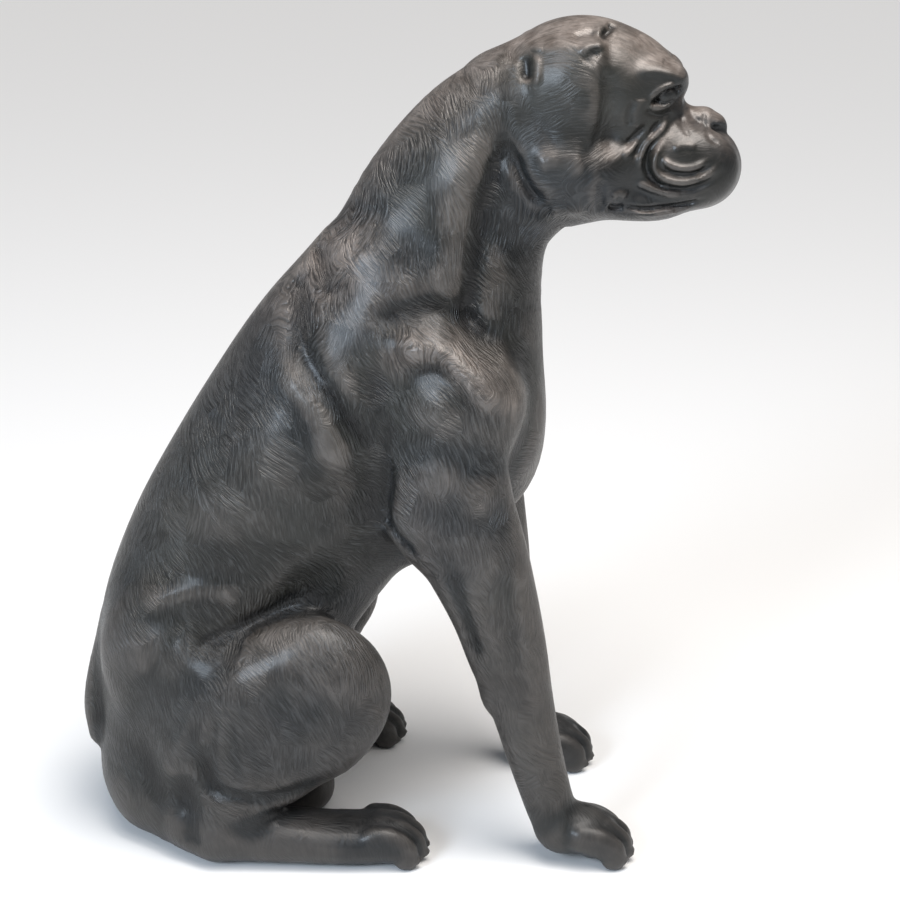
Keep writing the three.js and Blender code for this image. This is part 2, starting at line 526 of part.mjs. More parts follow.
function simplify(points, faces, target) {
  // Shortens the cheapest edge, by the distance to the planes that met at its ends, until the target is met.
  const quadrics = points.map(() => new Float64Array(10));
  const around = points.map(() => new Set());
  const normalOf = (a, b, c) => {
    const u = [0, 1, 2].map((k) => b[k] - a[k]);
    const w = [0, 1, 2].map((k) => c[k] - a[k]);
    return [u[1] * w[2] - u[2] * w[1], u[2] * w[0] - u[0] * w[2], u[0] * w[1] - u[1] * w[0]];
  };
  faces.forEach((face, f) => {
    const [a, b, c] = face.map((i) => points[i]);
    const n = normalOf(a, b, c);
    const length = Math.hypot(...n) || 1e-12;
    const unit = n.map((v) => v / length);
    const off = -(unit[0] * a[0] + unit[1] * a[1] + unit[2] * a[2]);
    const plane = [...unit, off];
    const weight = length * fineness(a);
    for (const i of face) {
      let m = 0;
      for (let r = 0; r < 4; r++) {
        for (let s = r; s < 4; s++) quadrics[i][m++] += weight * plane[r] * plane[s];
      }
      around[i].add(f);
    }
  });
  const alive = new Uint8Array(faces.length).fill(1);
  const stamp = new Int32Array(points.length);
  let count = faces.length;

  const price = (q, p) => {
    const [x, y, z] = p;
    return q[0] * x * x + 2 * q[1] * x * y + 2 * q[2] * x * z + 2 * q[3] * x + q[4] * y * y
      + 2 * q[5] * y * z + 2 * q[6] * y + q[7] * z * z + 2 * q[8] * z + q[9];
  };
  const bestPlace = (a, b) => {
    const q = quadrics[a].map((v, m) => v + quadrics[b][m]);
    const [m00, m01, m02, b0, m11, m12, b1, m22, b2] = q;
    const det = m00 * (m11 * m22 - m12 * m12) - m01 * (m01 * m22 - m12 * m02) + m02 * (m01 * m12 - m11 * m02);
    const pa = points[a];
    const pb = points[b];
    const middle = pa.map((v, k) => (v + pb[k]) / 2);
    let choices = [middle, pa, pb];
    if (Math.abs(det) > 1e-4 * (m00 + m11 + m22) ** 3) {
      const solved = [
        -(b0 * (m11 * m22 - m12 * m12) - m01 * (b1 * m22 - m12 * b2) + m02 * (b1 * m12 - m11 * b2)) / det,
        -(m00 * (b1 * m22 - m12 * b2) - b0 * (m01 * m22 - m12 * m02) + m02 * (m01 * b2 - b1 * m02)) / det,
        -(m00 * (m11 * b2 - b1 * m12) - m01 * (m01 * b2 - b1 * m02) + b0 * (m01 * m12 - m11 * m02)) / det,
      ];
      const away = Math.hypot(...solved.map((v, k) => v - middle[k]));
      if (away < 2 * Math.hypot(...pa.map((v, k) => v - pb[k]))) choices = [solved];
    }
    let place = null;
    let cost = Infinity;
    for (const p of choices) {
      const c = price(q, p);
      if (c < cost) {
        cost = c;
        place = p;
      }
    }
    const stretch = pa.reduce((s, v, k) => s + (v - pb[k]) ** 2, 0);
    const onSole = pa[2] === 0 || pb[2] === 0;
    return { place: [place[0], place[1], onSole ? 0 : place[2]], cost: cost + 1e-4 * stretch };
  };

  const heap = [];
  const less = (a, b) => a.cost < b.cost;
  const push = (item) => {
    let i = heap.push(item) - 1;
    while (i > 0) {
      const parent = (i - 1) >> 1;
      if (!less(heap[i], heap[parent])) break;
      [heap[i], heap[parent]] = [heap[parent], heap[i]];
      i = parent;
    }
  };
  const pop = () => {
    const top = heap[0];
    const last = heap.pop();
    if (heap.length) {
      heap[0] = last;
      let i = 0;
      for (;;) {
        let child = 2 * i + 1;
        if (child >= heap.length) break;
        if (child + 1 < heap.length && less(heap[child + 1], heap[child])) child++;
        if (!less(heap[child], heap[i])) break;
        [heap[i], heap[child]] = [heap[child], heap[i]];
        i = child;
      }
    }
    return top;
  };
  const offer = (a, b) => {
    const { place, cost } = bestPlace(a, b);
    push({ a, b, place, cost, stampA: stamp[a], stampB: stamp[b] });
  };
  const neighbours = (a) => {
    const set = new Set();
    for (const f of around[a]) for (const i of faces[f]) if (i !== a) set.add(i);
    return set;
  };
  const keepsShape = (a, b, place) => {
    // No face may turn over or become a sliver.
    for (const [end, other] of [[a, b], [b, a]]) {
      for (const f of around[end]) {
        if (faces[f].includes(other)) continue;
        const old = faces[f].map((i) => points[i]);
        const moved = faces[f].map((i) => (i === end ? place : points[i]));
        const before = normalOf(...old);
        const after = normalOf(...moved);
        const dot = before.reduce((s, v, k) => s + v * after[k], 0);
        const size = Math.hypot(...after);
        if (dot < 0.3 * Math.hypot(...before) * size) return false;
        const side = (k) => Math.hypot(...moved[k].map((v, m) => v - moved[(k + 1) % 3][m]));
        const longest = Math.max(side(0), side(1), side(2));
        if (size < 0.1 * longest * longest) return false;
      }
    }
    return true;
  };

  for (let a = 0; a < points.length; a++) for (const b of neighbours(a)) if (a < b) offer(a, b);
  while (count > target && heap.length) {
    const { a, b, place, stampA, stampB } = pop();
    if (stamp[a] !== stampA || stamp[b] !== stampB) continue;
    const ringA = neighbours(a);
    const shared = [...neighbours(b)].filter((i) => ringA.has(i));
    if (shared.length !== 2 || !keepsShape(a, b, place)) continue;
    for (const f of [...around[b]]) {
      if (faces[f].includes(a)) {
        alive[f] = 0;
        count--;
        for (const i of faces[f]) around[i].delete(f);
      } else {
        faces[f] = faces[f].map((i) => (i === b ? a : i));
        around[a].add(f);
      }
    }
    around[b].clear();
    points[a] = place;
    for (let m = 0; m < 10; m++) quadrics[a][m] += quadrics[b][m];
    stamp[a]++;
    stamp[b] = -1;
    const ring = neighbours(a);
    for (const i of ring) offer(a, i);
  }
  return faces.filter((_, f) => alive[f]);
}

function buildDog() {
  const { points, faces } = meshField(CELL);
  settle(points);
  const kept = simplify(points, faces, TRIANGLES);
  const scale = HEIGHT / DRAWN_HEIGHT;
  const used = [...new Set(kept.flat())].map((i) => points[i]);
  const middle = [0, 1].map((k) => {
    const along = used.map((p) => p[k]);
    return (along.reduce((a, b) => Math.min(a, b)) + along.reduce((a, b) => Math.max(a, b))) / 2;
  });
  const number = new Map();
  const positions = [];
  const indices = [];
  for (const face of kept) {
    for (const i of face) {
      if (!number.has(i)) {
        number.set(i, number.size);
        const [x, y, z] = points[i];
        positions.push(scale * (x - middle[0]), scale * (y - middle[1]), scale * z);
      }
      indices.push(number.get(i));
    }
  }
  const geometry = new THREE.BufferGeometry();
  geometry.setAttribute('position', new THREE.Float32BufferAttribute(positions, 3));
  geometry.setIndex(indices);
  geometry.computeVertexNormals();
  return geometry;
}

const darkIron = new THREE.MeshStandardMaterial({ color: 0x2b2826, metalness: 0.85, roughness: 0.45 });
const dog = new THREE.Mesh(buildDog(), darkIron);
dog.name = 'dog';

const statue = new THREE.Group();
statue.name = 'boxer_dog_statue';
statue.add(dog);

export default statue;
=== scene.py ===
import math

import bpy
import numpy as np
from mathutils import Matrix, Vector


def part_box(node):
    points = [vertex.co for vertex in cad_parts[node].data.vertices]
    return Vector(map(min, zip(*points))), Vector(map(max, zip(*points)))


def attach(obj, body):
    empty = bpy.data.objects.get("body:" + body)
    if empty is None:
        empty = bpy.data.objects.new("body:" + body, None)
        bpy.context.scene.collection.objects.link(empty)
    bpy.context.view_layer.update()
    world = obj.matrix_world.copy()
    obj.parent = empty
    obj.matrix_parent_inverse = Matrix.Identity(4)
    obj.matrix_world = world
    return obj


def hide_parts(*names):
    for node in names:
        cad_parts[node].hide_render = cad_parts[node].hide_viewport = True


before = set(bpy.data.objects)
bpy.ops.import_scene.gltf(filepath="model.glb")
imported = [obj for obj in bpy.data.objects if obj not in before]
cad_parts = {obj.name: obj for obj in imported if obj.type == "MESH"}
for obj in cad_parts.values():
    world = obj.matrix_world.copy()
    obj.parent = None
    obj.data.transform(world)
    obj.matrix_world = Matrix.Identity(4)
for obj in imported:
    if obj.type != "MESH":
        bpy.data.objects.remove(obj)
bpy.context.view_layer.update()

# The dog's body: one hollow casting of dark iron, modelled in clay, cast and chased by hand.
# Its form is drawn in millimetres for a dog 832 mm tall whose floor is z = 0, as limbs and
# muscles that melt into each other. The near side's limbs, muscles and folds repeat on the far side.

# The cell of the grid that the surface is drawn on, and the lowest and highest corner of that grid.
CELL = 5.9
DRAWING_LOW = (-400, -190, -7.5)
DRAWING_HIGH = (310, 230, 860)

# Each foot stands STANCE_HALF_WIDTH from the middle. Its four toes run from the outer to the inner
# one, and TOE_TIPS is how far forward those of the fore and the hind foot reach. Points of the
# surface lower than SOLE_REACH belong to a sole and are laid on the floor.
STANCE_HALF_WIDTH = 102
TOE_ACROSS = (25, 8.5, -8.5, -25)
TOE_SETBACK = (-8, 0, 0, -8)
TOE_TIPS = (173, -35)
SOLE_REACH = 1.5

# The far legs stand a little behind the near ones and the far hind foot is set wider: the feet's
# shift in x and y. It fades out up to FAR_TOP, for the knee from FAR_KNEE_TOP on, over FAR_ACROSS
# from the middle of the body, and along it from RUMP_END and from FORELEG_BACK on.
FAR_FORE = (-30, 0)
FAR_HIND = (-27, 58)
FAR_TOP = 333
FAR_KNEE_TOP = 150
FAR_ACROSS = 60
RUMP_END, RUMP_FADE = -310, 130
FORELEG_BACK, FORELEG_FADE = -30, 30

# Name, how far the limb melts into what is there, and its oval stations:
# x, y, z of the middle, its radius seen from the side, its half width. Eggs have one middle and
# three radii. First those of the middle of the dog, then one side's, which the other side repeats.
BODY = [
    ["trunk", 1, [
      [-260, 0, 97, 102, 92], [-240, 0, 193, 121, 96], [-206, 0, 278, 127, 93], [-152, 0, 364, 133, 102],
      [-94, 0, 443, 139, 107], [-50, 0, 515, 132, 98], [-17, 0, 591, 110, 78], [1, 0, 652, 89, 62],
      [31, 0, 703, 77, 56], [62, 0, 738, 67, 54]]],
    ["seat", 30, [[-315, 0, 46, 46, 52], [-288, 0, 50, 54, 72], [-206, 2, 32, 38, 56]]],
    ["breast", 36, [[29, 0, 513, 52, 58], [45, 0, 440, 50, 58], [27, 0, 384, 53, 54], [-28, 0, 338, 42, 56]]],
    ["throat", 20, [[56, 0, 620, 31, 38], [84, 0, 665, 44, 42], [118, 0, 679, 44, 44]]],
    ["tail", 10,
      [[-341, 0, 219, 14, 19], [-356, 0, 173, 15, 17], [-365, 0, 126, 15, 15], [-364, 0, 90, 13, 14]]],
    ["groin", 26, [[-140, 4, 183, 34, 32], [-156, 4, 105, 32, 30], [-152, 6, 24, 30, 30]]],
    ["muzzle", 20, [[168, 0, 705, 48, 46], [206, 0, 700, 45, 46], [237, 0, 690, 40, 43]]],
    ["bridge", 10, [[203, 0, 737, 13, 18], [238, 0, 734, 12, 15]]],
    ["nose", 4, [[240, 0, 731, 15, 17], [247, 0, 727, 15, 17]]],
    ["jaw", 12, [[130, 0, 668, 27, 44], [198, 0, 661, 22, 42], [232, 0, 674, 18, 30]]],
]
BODY_EGGS = [
    ["skull", 16, [124, 0, 767], [80, 62, 65]],
    ["forehead", 14, [168, 0, 760], [51, 48, 52.5]],
]
SIDE = [
    ["shoulder", 36,
      [[-70, 38, 602, 24, 16], [-46, 55, 562, 38, 24], [-8, 74, 513, 46, 31], [20, 84, 479, 44, 34]]],
    ["upper arm", 30, [[20, 86, 479, 44, 34], [2, 94, 423, 50, 34], [-8, 98, 365, 48, 32]]],
    ["cheek", 18, [[98, 28, 699, 52, 36], [132, 32, 695, 36, 32]]],
    ["foreleg", 18, [
      [4, 98, 378, 58, 31], [25, 99, 326, 51, 32], [43, 100, 275, 44, 30], [57, 101, 224, 39, 27],
      [71, 101, 172, 32, 24], [84, 102, 119, 28, 23], [99, 102, 65, 25, 23], [109, 102, 40, 25, 25]]],
    ["fore paw", 10, [[115, 102, 34, 26, 27], [134, 102, 33, 25, 30], [145, 102, 28, 24, 31]]],
    ["thigh", 30, [[-262, 56, 203, 82, 38], [-205, 95, 169, 80, 45], [-141, 106, 184, 83, 42]]],
    ["buttock", 30, [[-300, 48, 44, 40, 38], [-262, 80, 38, 38, 32]]],
    ["calf", 26, [[-150, 103, 143, 58, 34], [-210, 104, 73, 42, 31], [-236, 104, 40, 36, 30]]],
    ["foot", 12, [
      [-230, 104, 32, 30, 31], [-150, 105, 27, 27, 32], [-100, 105, 25, 26, 33], [-72, 104, 25, 25, 33],
      [-60, 103, 23, 23, 33]]],
]
SIDE_EGGS = [
    ["brow", 14, [193, 24, 775], [28, 24, 21]],
    ["flew", 10, [222, 26, 695], [47, 25, 38]],
    ["pectoral", 20, [42, 34, 443], [44, 34, 62]],
    ["heel of the wrist", 10, [43, 101, 187], [12, 12, 22]],
    ["behind the hock", 24, [-252, 90, 104], [34, 27, 46]],
]

# One toe and its claw from the tip at the floor: along x, height, sagittal radius, half width.
TOE = [[-33, 34, 13, 9], [-18, 31, 14.5, 9.5], [-5, 22, 14.5, 9.5], [-1, 13, 13, 9]]
CLAW = [[3, 17, 6, 5], [10, 11, 4.5, 3.8], [13, 8, 3.4, 3]]
TOE_MELT, CLAW_MELT = 6, 2

# Swellings of muscle and bone: height, middle, reach along x, y, z.
SWELLINGS = [
    ["rib barrel", 9, [-178, 96, 423], [62, 60, 58]],
    ["last ribs", 7, [-230, 90, 365], [48, 60, 40]],
    ["point of shoulder", 5, [-19, 112, 484], [30, 50, 26]],
    ["triceps", 5, [-10, 120, 420], [28, 50, 22]],
    ["upper arm front", 5, [28, 112, 402], [18, 50, 22]],
    ["forearm", 5, [30, 120, 343], [26, 40, 34]],
    ["knee", 5, [-96, 140, 215], [34, 40, 34]],
    ["haunch", 8, [-290, 80, 223], [44, 60, 34]],
    ["neck", 6, [0, 60, 683], [34, 50, 48]],
    ["jaw muscle", 4, [108, 62, 683], [34, 30, 26]],
]

# Folds and creases on the sides: height, half width, inner y from which they show, their line in
# x and z. A crease has a height below nought.
SHOULDER_RIDGE = [[-50, 528], [-36, 538], [-19, 542], [0, 535], [19, 519], [37, 500], [58, 488]]
FOLDS = [
    ["inner flew ridge", 3.2, 3.2, 20, [[197, 709], [202, 703], [214, 699], [227, 700], [241, 707]]],
    ["inner flew crease", -3, 3.2, 20, [[197, 701], [204, 695], [218, 693], [232, 695], [244, 701]]],
    ["flew ridge", 4.2, 3.6, 20,
      [[200, 726], [192, 714], [189, 702], [194, 692], [207, 686], [223, 686], [240, 693], [252, 702]]],
    ["flew edge crease", -5.5, 3.8, 20,
      [[195, 727], [186, 716], [183, 703], [186, 691], [197, 681], [216, 678], [236, 683], [253, 692]]],
    ["cheek fold", 3.2, 3.2, 20, [[205, 742], [195, 732], [184, 721], [178, 709], [177, 697]]],
    ["cheek fold crease", -3.2, 3.2, 20, [[197, 742], [187, 731], [176, 720], [171, 707]]],
    ["outer cheek fold", 3, 3.6, 20, [[189, 734], [178, 723], [167, 715], [158, 710]]],
    ["outer cheek crease", -2.6, 3.6, 20, [[182, 739], [172, 728], [161, 719]]],
    ["eye bag", -2.4, 3.4, 18, [[169, 764], [165, 751], [165, 736]]],
    ["cheek bone", 1.5, 7, 18, [[175, 763], [175, 749], [172, 737]]],
    ["lip ridge", 3.4, 3.6, 20, [[171, 685], [185, 679], [200, 675], [218, 673]]],
    ["lip line", -5, 2.6, 16, [[161, 662], [178, 658], [197, 659], [219, 662], [238, 668]]],
    ["lower lip roll", 2.4, 3, 16, [[169, 655], [188, 652], [210, 655], [230, 660]]],
    ["mouth corner", -3.5, 5, 20, [[141, 692], [140, 680], [140, 668], [143, 656]]],
    ["mouth corner pouch", 3, 4, 20, [[150, 672], [158, 675], [167, 671]]],
    ["mouth corner hole", -4.5, 3.6, 16, [[147, 663], [155, 660], [164, 661]]],
    ["upper lid", 2, 2.4, 18, [[182, 763], [190, 770], [199, 775], [208, 777]]],
    ["lower lid", 2.2, 2.2, 18, [[182, 758], [190, 754], [199, 754], [207, 759]]],
    ["under the eye", -2, 2.8, 18, [[178, 754], [187, 748], [197, 746], [206, 750]]],
    ["brow ridge", 3, 6, 14, [[168, 786], [185, 790], [201, 788], [212, 782], [218, 773]]],
    ["brow furrow", -2.4, 3, 8, [[194, 795], [203, 793], [212, 788]]],
    ["nose edge", -1.4, 2.2, 4, [[240, 745], [238, 736], [242, 724], [252, 718]]],
    ["muzzle furrow", -1.3, 3.2, 12, [[222, 749], [228, 740], [236, 732]]],
    ["muzzle furrow two", -1.2, 3, 12, [[215, 746], [217, 735], [223, 725]]],
    ["whisker ridge", 1.6, 3, 20, [[206, 716], [217, 720], [230, 718]]],
    ["side of the head", -4.5, 11, 22, [[143, 796], [146, 766], [148, 736], [147, 706]]],
    ["cheek muscle", 4.5, 10, 22, [[76, 705], [92, 709], [111, 707], [127, 698]]],
    ["throat crease", -7, 6, 20, [[59, 717], [63, 702], [69, 689], [77, 677], [89, 664]]],
    ["throat roll", 3, 7, 14, [[92, 657], [108, 659], [129, 659]]],
    ["ear pocket rim", 3, 3, 42, [[60, 786], [60, 797], [65, 806], [75, 810], [86, 808]]],
    ["ear pocket", -6.5, 5, 40, [[69, 801], [70, 790], [71, 778]]],
    ["ear pocket rear", 2.5, 3.2, 40, [[79, 803], [80, 790], [78, 776]]],
    ["ear fold", 3, 3.4, 24, [[118, 804], [125, 812], [134, 814], [140, 810]]],
    ["ear fold hollow", -2.6, 4, 24, [[112, 816], [125, 819], [136, 819]]],
    ["ear inner hollow", -2.4, 5, 24, [[124, 799], [129, 805], [134, 803]]],
    ["front notch", -10, 7.5, 16, [[143, 824], [147, 818]]],
    ["front notch rim", 2.6, 3, 20, [[137, 810], [136, 822], [139, 829]]],
    ["neck groove", -9, 12, 15,
      [[60, 728], [51, 718], [38, 690], [30, 657], [23, 613], [17, 569], [18, 535]]],
    ["neck muscle", 6, 22, 15, [[34, 738], [16, 690], [8, 657], [1, 613], [-6, 578]]],
    ["shoulder ridge", 10, 12, 40, SHOULDER_RIDGE],
    ["over the shoulder", -9, 15, 40, [[-72, 552], [-50, 566], [-20, 572], [6, 564], [28, 545], [54, 520]]],
    ["elbow crease", -5, 5, 60, [[-60, 450], [-58, 405], [-60, 376], [-52, 359], [-40, 348], [-30, 333]]],
    ["behind the arm", -6, 18, 70, [[-62, 533], [-73, 487], [-74, 437], [-77, 386], [-82, 345]]],
    ["edge of the blade", -7, 14, 30,
      [[-132, 616], [-140, 582], [-139, 543], [-130, 512], [-109, 486], [-93, 459], [-87, 428]]],
    ["hollow of the withers", -5, 11, 20, [[-124, 619], [-120, 599], [-116, 572]]],
    ["rib edge", 5, 15, 60, [[-168, 509], [-143, 500], [-124, 478], [-112, 450], [-108, 415]]],
    ["flank", -5, 20, 50, [[-264, 252], [-230, 243], [-201, 246], [-171, 265], [-136, 294], [-97, 326]]],
    ["waist roll", 5, 14, 50, [[-315, 270], [-272, 284], [-233, 290], [-194, 282]]],
    ["above the thigh", -3.5, 8, 60,
      [[-250, 232], [-237, 239], [-208, 251], [-182, 262], [-159, 275], [-138, 284]]],
    ["under the thigh", -5, 9, 90,
      [[-245, 150], [-241, 112], [-228, 90], [-187, 84], [-153, 90], [-118, 106]]],
    ["hock hollow", -7, 15, 80, [[-270, 108], [-262, 76], [-257, 42], [-258, 20]]],
    ["over the foot", -4, 9, 90, [[-200, 66], [-160, 60], [-120, 52], [-90, 54], [-68, 58]]],
    ["forearm groove", -4, 8, 100, [[0, 328], [8, 301], [20, 258], [29, 226]]],
    ["forearm edge", 3, 8, 100, [[64, 343], [70, 293], [75, 243], [86, 183]]],
]

# Hollows cut with a soft edge, and the eyeball set back into its hollow, as limbs.
HOLLOWS = [
    ["eye socket", 3,
      [[188, 48, 760, 2.5, 7], [196, 46, 763, 5.5, 9], [204, 42, 768, 5.5, 9], [210, 38, 772, 2.5, 8]]],
    ["nostril", 2.5, [[249, 17, 729, 4.5, 4], [262, 12, 727, 5.5, 4.5]]],
    ["philtrum", 4, [[277, 0, 712, 4, 3], [281, 0, 690, 5, 3], [276, 0, 668, 5, 3]]],
]
EYEBALL = ["eyeball", 0.8, [[198, 34, 765, 9.5, 11.5], [201, 33, 766, 9.5, 11.5]]]

# The ear flap folds down over the side of the head: the box round it, its edge and the roll along
# its top in x and z, and how high and wide the roll is. The flap is thin at the back, thickens from
# EAR_THIN_END forward, and rises from the skull from EAR_ROOT outward.
EAR_BOX = ((40, 20, 690), (165, 200, 860))
EAR_EDGE = [
    [62, 800], [63, 811], [72, 818], [100, 819], [125, 822], [138, 820], [142, 803], [141, 774],
    [138, 747], [131, 723], [117, 713], [103, 721], [87, 745], [72, 772]]
EAR_ROLL = [[71, 810], [95, 813], [118, 814], [136, 815]]
EAR_ROLL_HEIGHT, EAR_ROLL_WIDTH = 2.5, 9
EAR_THICKNESS = 4.5
EAR_THIN_SHARE = 0.35
EAR_THIN_END, EAR_THIN_FADE = 82, 45
EAR_ROOT, EAR_ROOT_FADE = 34, 12
EAR_EDGE_ROUNDING, EAR_MELT = 11, 7


def run_of_stations(stations, steps=6):
    """Catmull-Rom curve through the stations:
    half of 2b + (c - a)t + (2a - 5b + 4c - d)t² + (3b - a - 3c + d)t³ for each four in a row."""
    s = np.array(stations, np.float32)
    e = np.vstack([2 * s[0] - s[1], s, 2 * s[-1] - s[-2]])
    t = (np.arange(steps, dtype=np.float32) / steps)[:, None]
    parts = []
    for a, b, c, d in zip(e[:-3], e[1:-2], e[2:-1], e[3:]):
        bend, twist = 2 * a - 5 * b + 4 * c - d, 3 * b - a - 3 * c + d
        parts.append(0.5 * (2 * b + (c - a) * t + bend * t**2 + twist * t**3))
    return np.vstack(parts + [s[-1:]])


def oval_distance(q, r, w):
    """Distance to an oval of radius r along x and z and w along y:
    k0 (k0 - 1) / k1 with k0 = |q / radii| and k1 = |q / radii²|."""
    round_part = q[:, 0] ** 2 + q[:, 2] ** 2
    flat_part = q[:, 1] ** 2
    k0 = np.sqrt(round_part / r**2 + flat_part / w**2)
    k1 = np.sqrt(round_part / r**4 + flat_part / w**4) + 1e-6
    return np.where(k0 < 0.05, -np.minimum(r, w), k0 * (k0 - 1) / k1)


def limb_distance(p, stations):
    """Distance to a limb: the nearest point of its middle line, slid to where the line is square
    to p, then the distance to the oval there."""
    rows = run_of_stations(stations)
    best = np.full(len(p), 1e9, np.float32)
    along = np.zeros(len(p), np.float32)
    for i, (a, b) in enumerate(zip(rows[:-1, :3], rows[1:, :3])):
        axis = b - a
        t = np.clip((p - a) @ axis / max(axis @ axis, 1e-6), 0, 1)
        d = ((p - a - t[:, None] * axis) ** 2).sum(1)
        nearer = d < best
        best[nearer] = d[nearer]
        along[nearer] = i + t[nearer]
    i = np.clip(along.astype(int), 0, len(rows) - 2)
    f = (along - i)[:, None]
    here = rows[i] * (1 - f) + rows[i + 1] * f
    slope = np.gradient(rows, axis=0)
    slope_here = slope[i] * (1 - f) + slope[i + 1] * f
    slide = ((p - here[:, :3]) * slope_here[:, :3]).sum(1) / (slope_here[:, :3] ** 2).sum(1).clip(1e-6)
    along = np.clip(along + np.clip(slide, -0.5, 0.5), 0, len(rows) - 1)
    i = np.clip(along.astype(int), 0, len(rows) - 2)
    f = (along - i)[:, None]
    here = rows[i] * (1 - f) + rows[i + 1] * f
    return oval_distance(p - here[:, :3], here[:, 3], here[:, 4])


def egg_distance(p, centre, radii):
    """Distance to an ellipsoid: k0 (k0 - 1) / k1, as for the oval."""
    q = p - np.float32(centre)
    radii = np.float32(radii)
    k0 = np.sqrt(((q / radii) ** 2).sum(1))
    k1 = np.sqrt(((q / radii**2) ** 2).sum(1)) + 1e-6
    return np.where(k0 < 0.05, -radii.min(), k0 * (k0 - 1) / k1)


def melt(a, b, blend):
    """The smaller of a and b, with h² blend / 4 taken off where they are closer than blend."""
    h = np.maximum(blend - np.abs(a - b), 0) / blend
    return np.minimum(a, b) - h * h * blend / 4


def carve(a, b, blend):
    """The larger of a and b, rounded in the same way."""
    return -melt(-a, -b, blend)


def smoothly(line, steps=4):
    """The curve through the points of a broken line, as a closer broken line."""
    return run_of_stations([[a, b, 0, 0, 0] for a, b in line], steps)[:, :2]


def line_distance(x, z, line, ends=None):
    """Distance in the side view to a broken line. With ends, also how far the nearest point is
    from the nearer end of the line, as a share of ends smoothed by 3s² - 2s³."""
    best = np.full(len(x), 1e9, np.float32)
    along = np.zeros(len(x), np.float32)
    line = np.float32(line)
    for i, ((ax, az), (bx, bz)) in enumerate(zip(line[:-1], line[1:])):
        ux, uz = bx - ax, bz - az
        t = np.clip(((x - ax) * ux + (z - az) * uz) / (ux * ux + uz * uz), 0, 1)
        d = (x - ax - t * ux) ** 2 + (z - az - t * uz) ** 2
        nearer = d < best
        best[nearer] = d[nearer]
        along[nearer] = i + t[nearer]
    if ends is None:
        return np.sqrt(best)
    along /= len(line) - 1
    inward = np.clip(np.minimum(along, 1 - along) / ends, 0, 1)
    return np.sqrt(best), inward * inward * (3 - 2 * inward)


def edge_distance(x, z, edge):
    """Distance in the side view to a closed edge, below nought inside it."""
    inside = np.zeros(len(x), bool)
    for (ax, az), (bx, bz) in zip(edge, edge[1:] + edge[:1]):
        crosses = (az > z) != (bz > z)
        inside ^= crosses & (x < ax + (z - az) * (bx - ax) / (bz - az if bz != az else 1))
    d = line_distance(x, z, edge + edge[:1])
    return np.where(inside, -d, d)


def near_side(p):
    """Points of either side carried to the near side's drawing, undoing the far feet's own places."""
    x, y, z = p.T
    far = np.clip(y / FAR_ACROSS, 0, 1)
    low = np.clip(1 - z / FAR_TOP, 0, 1) * far
    back = np.clip(2 - z / FAR_KNEE_TOP, 0, 1) * far * np.clip((x - RUMP_END) / RUMP_FADE, 0, 1)
    front = np.clip((x - FORELEG_BACK) / FORELEG_FADE, 0, 1)
    dx = FAR_HIND[0] * back + front * (FAR_FORE[0] * low - FAR_HIND[0] * back)
    dy = FAR_HIND[1] + front * (FAR_FORE[1] - FAR_HIND[1])
    return np.stack([x - dx, np.abs(y) - dy * low, z], 1).astype(np.float32)


def toes_and_claws():
    """Four toes with claws on each foot, the outer two set back, as limbs."""
    limbs = []
    for tip in TOE_TIPS:
        for across, setback in zip(TOE_ACROSS, TOE_SETBACK):
            for stations, blend in ((TOE, TOE_MELT), (CLAW, CLAW_MELT)):
                y = STANCE_HALF_WIDTH + across
                limbs.append(["", blend, [[tip + setback + a, y, up, r, w] for a, up, r, w in stations]])
    return limbs


def limb_box(stations, pad):
    """Lowest and highest corner of a limb's stations and their radii, with a pad."""
    s = np.float32(stations)
    reach = s[:, 3:].max(1)[:, None] + pad
    return (s[:, :3] - reach).min(0), (s[:, :3] + reach).max(0)


def among(p, low, high):
    """Which points lie in a box."""
    return ((p > low) & (p < high)).all(1)


# Each form is worked out only where it can matter: this far round a limb, an egg and a hollow, this
# many times its own reach or width round a swelling and a fold, and, for all but limbs and eggs, in a
# skin of that thickness on either side of the surface.
FAR_AWAY = 200
LIMB_ROOM, LEAST_LIMB_MELT = 30, 10
EGG_ROOM = 60
HOLLOW_ROOM = 12
SWELLING_ROOM = 2.2
FOLD_ROOM = 2.4
SKIN = 40

# A fold sinks to FOLD_END of its height over FOLD_TAPER of its length at each end, and over
# FOLD_FADE where it comes in from the middle of the dog. One no longer than four widths keeps its ends.
FOLD_END = 0.1
FOLD_TAPER, NO_TAPER = 0.22, 0.001
FOLD_FADE = 8
SHORT_FOLD = 4
OUTSIDE_THE_DOG = 400


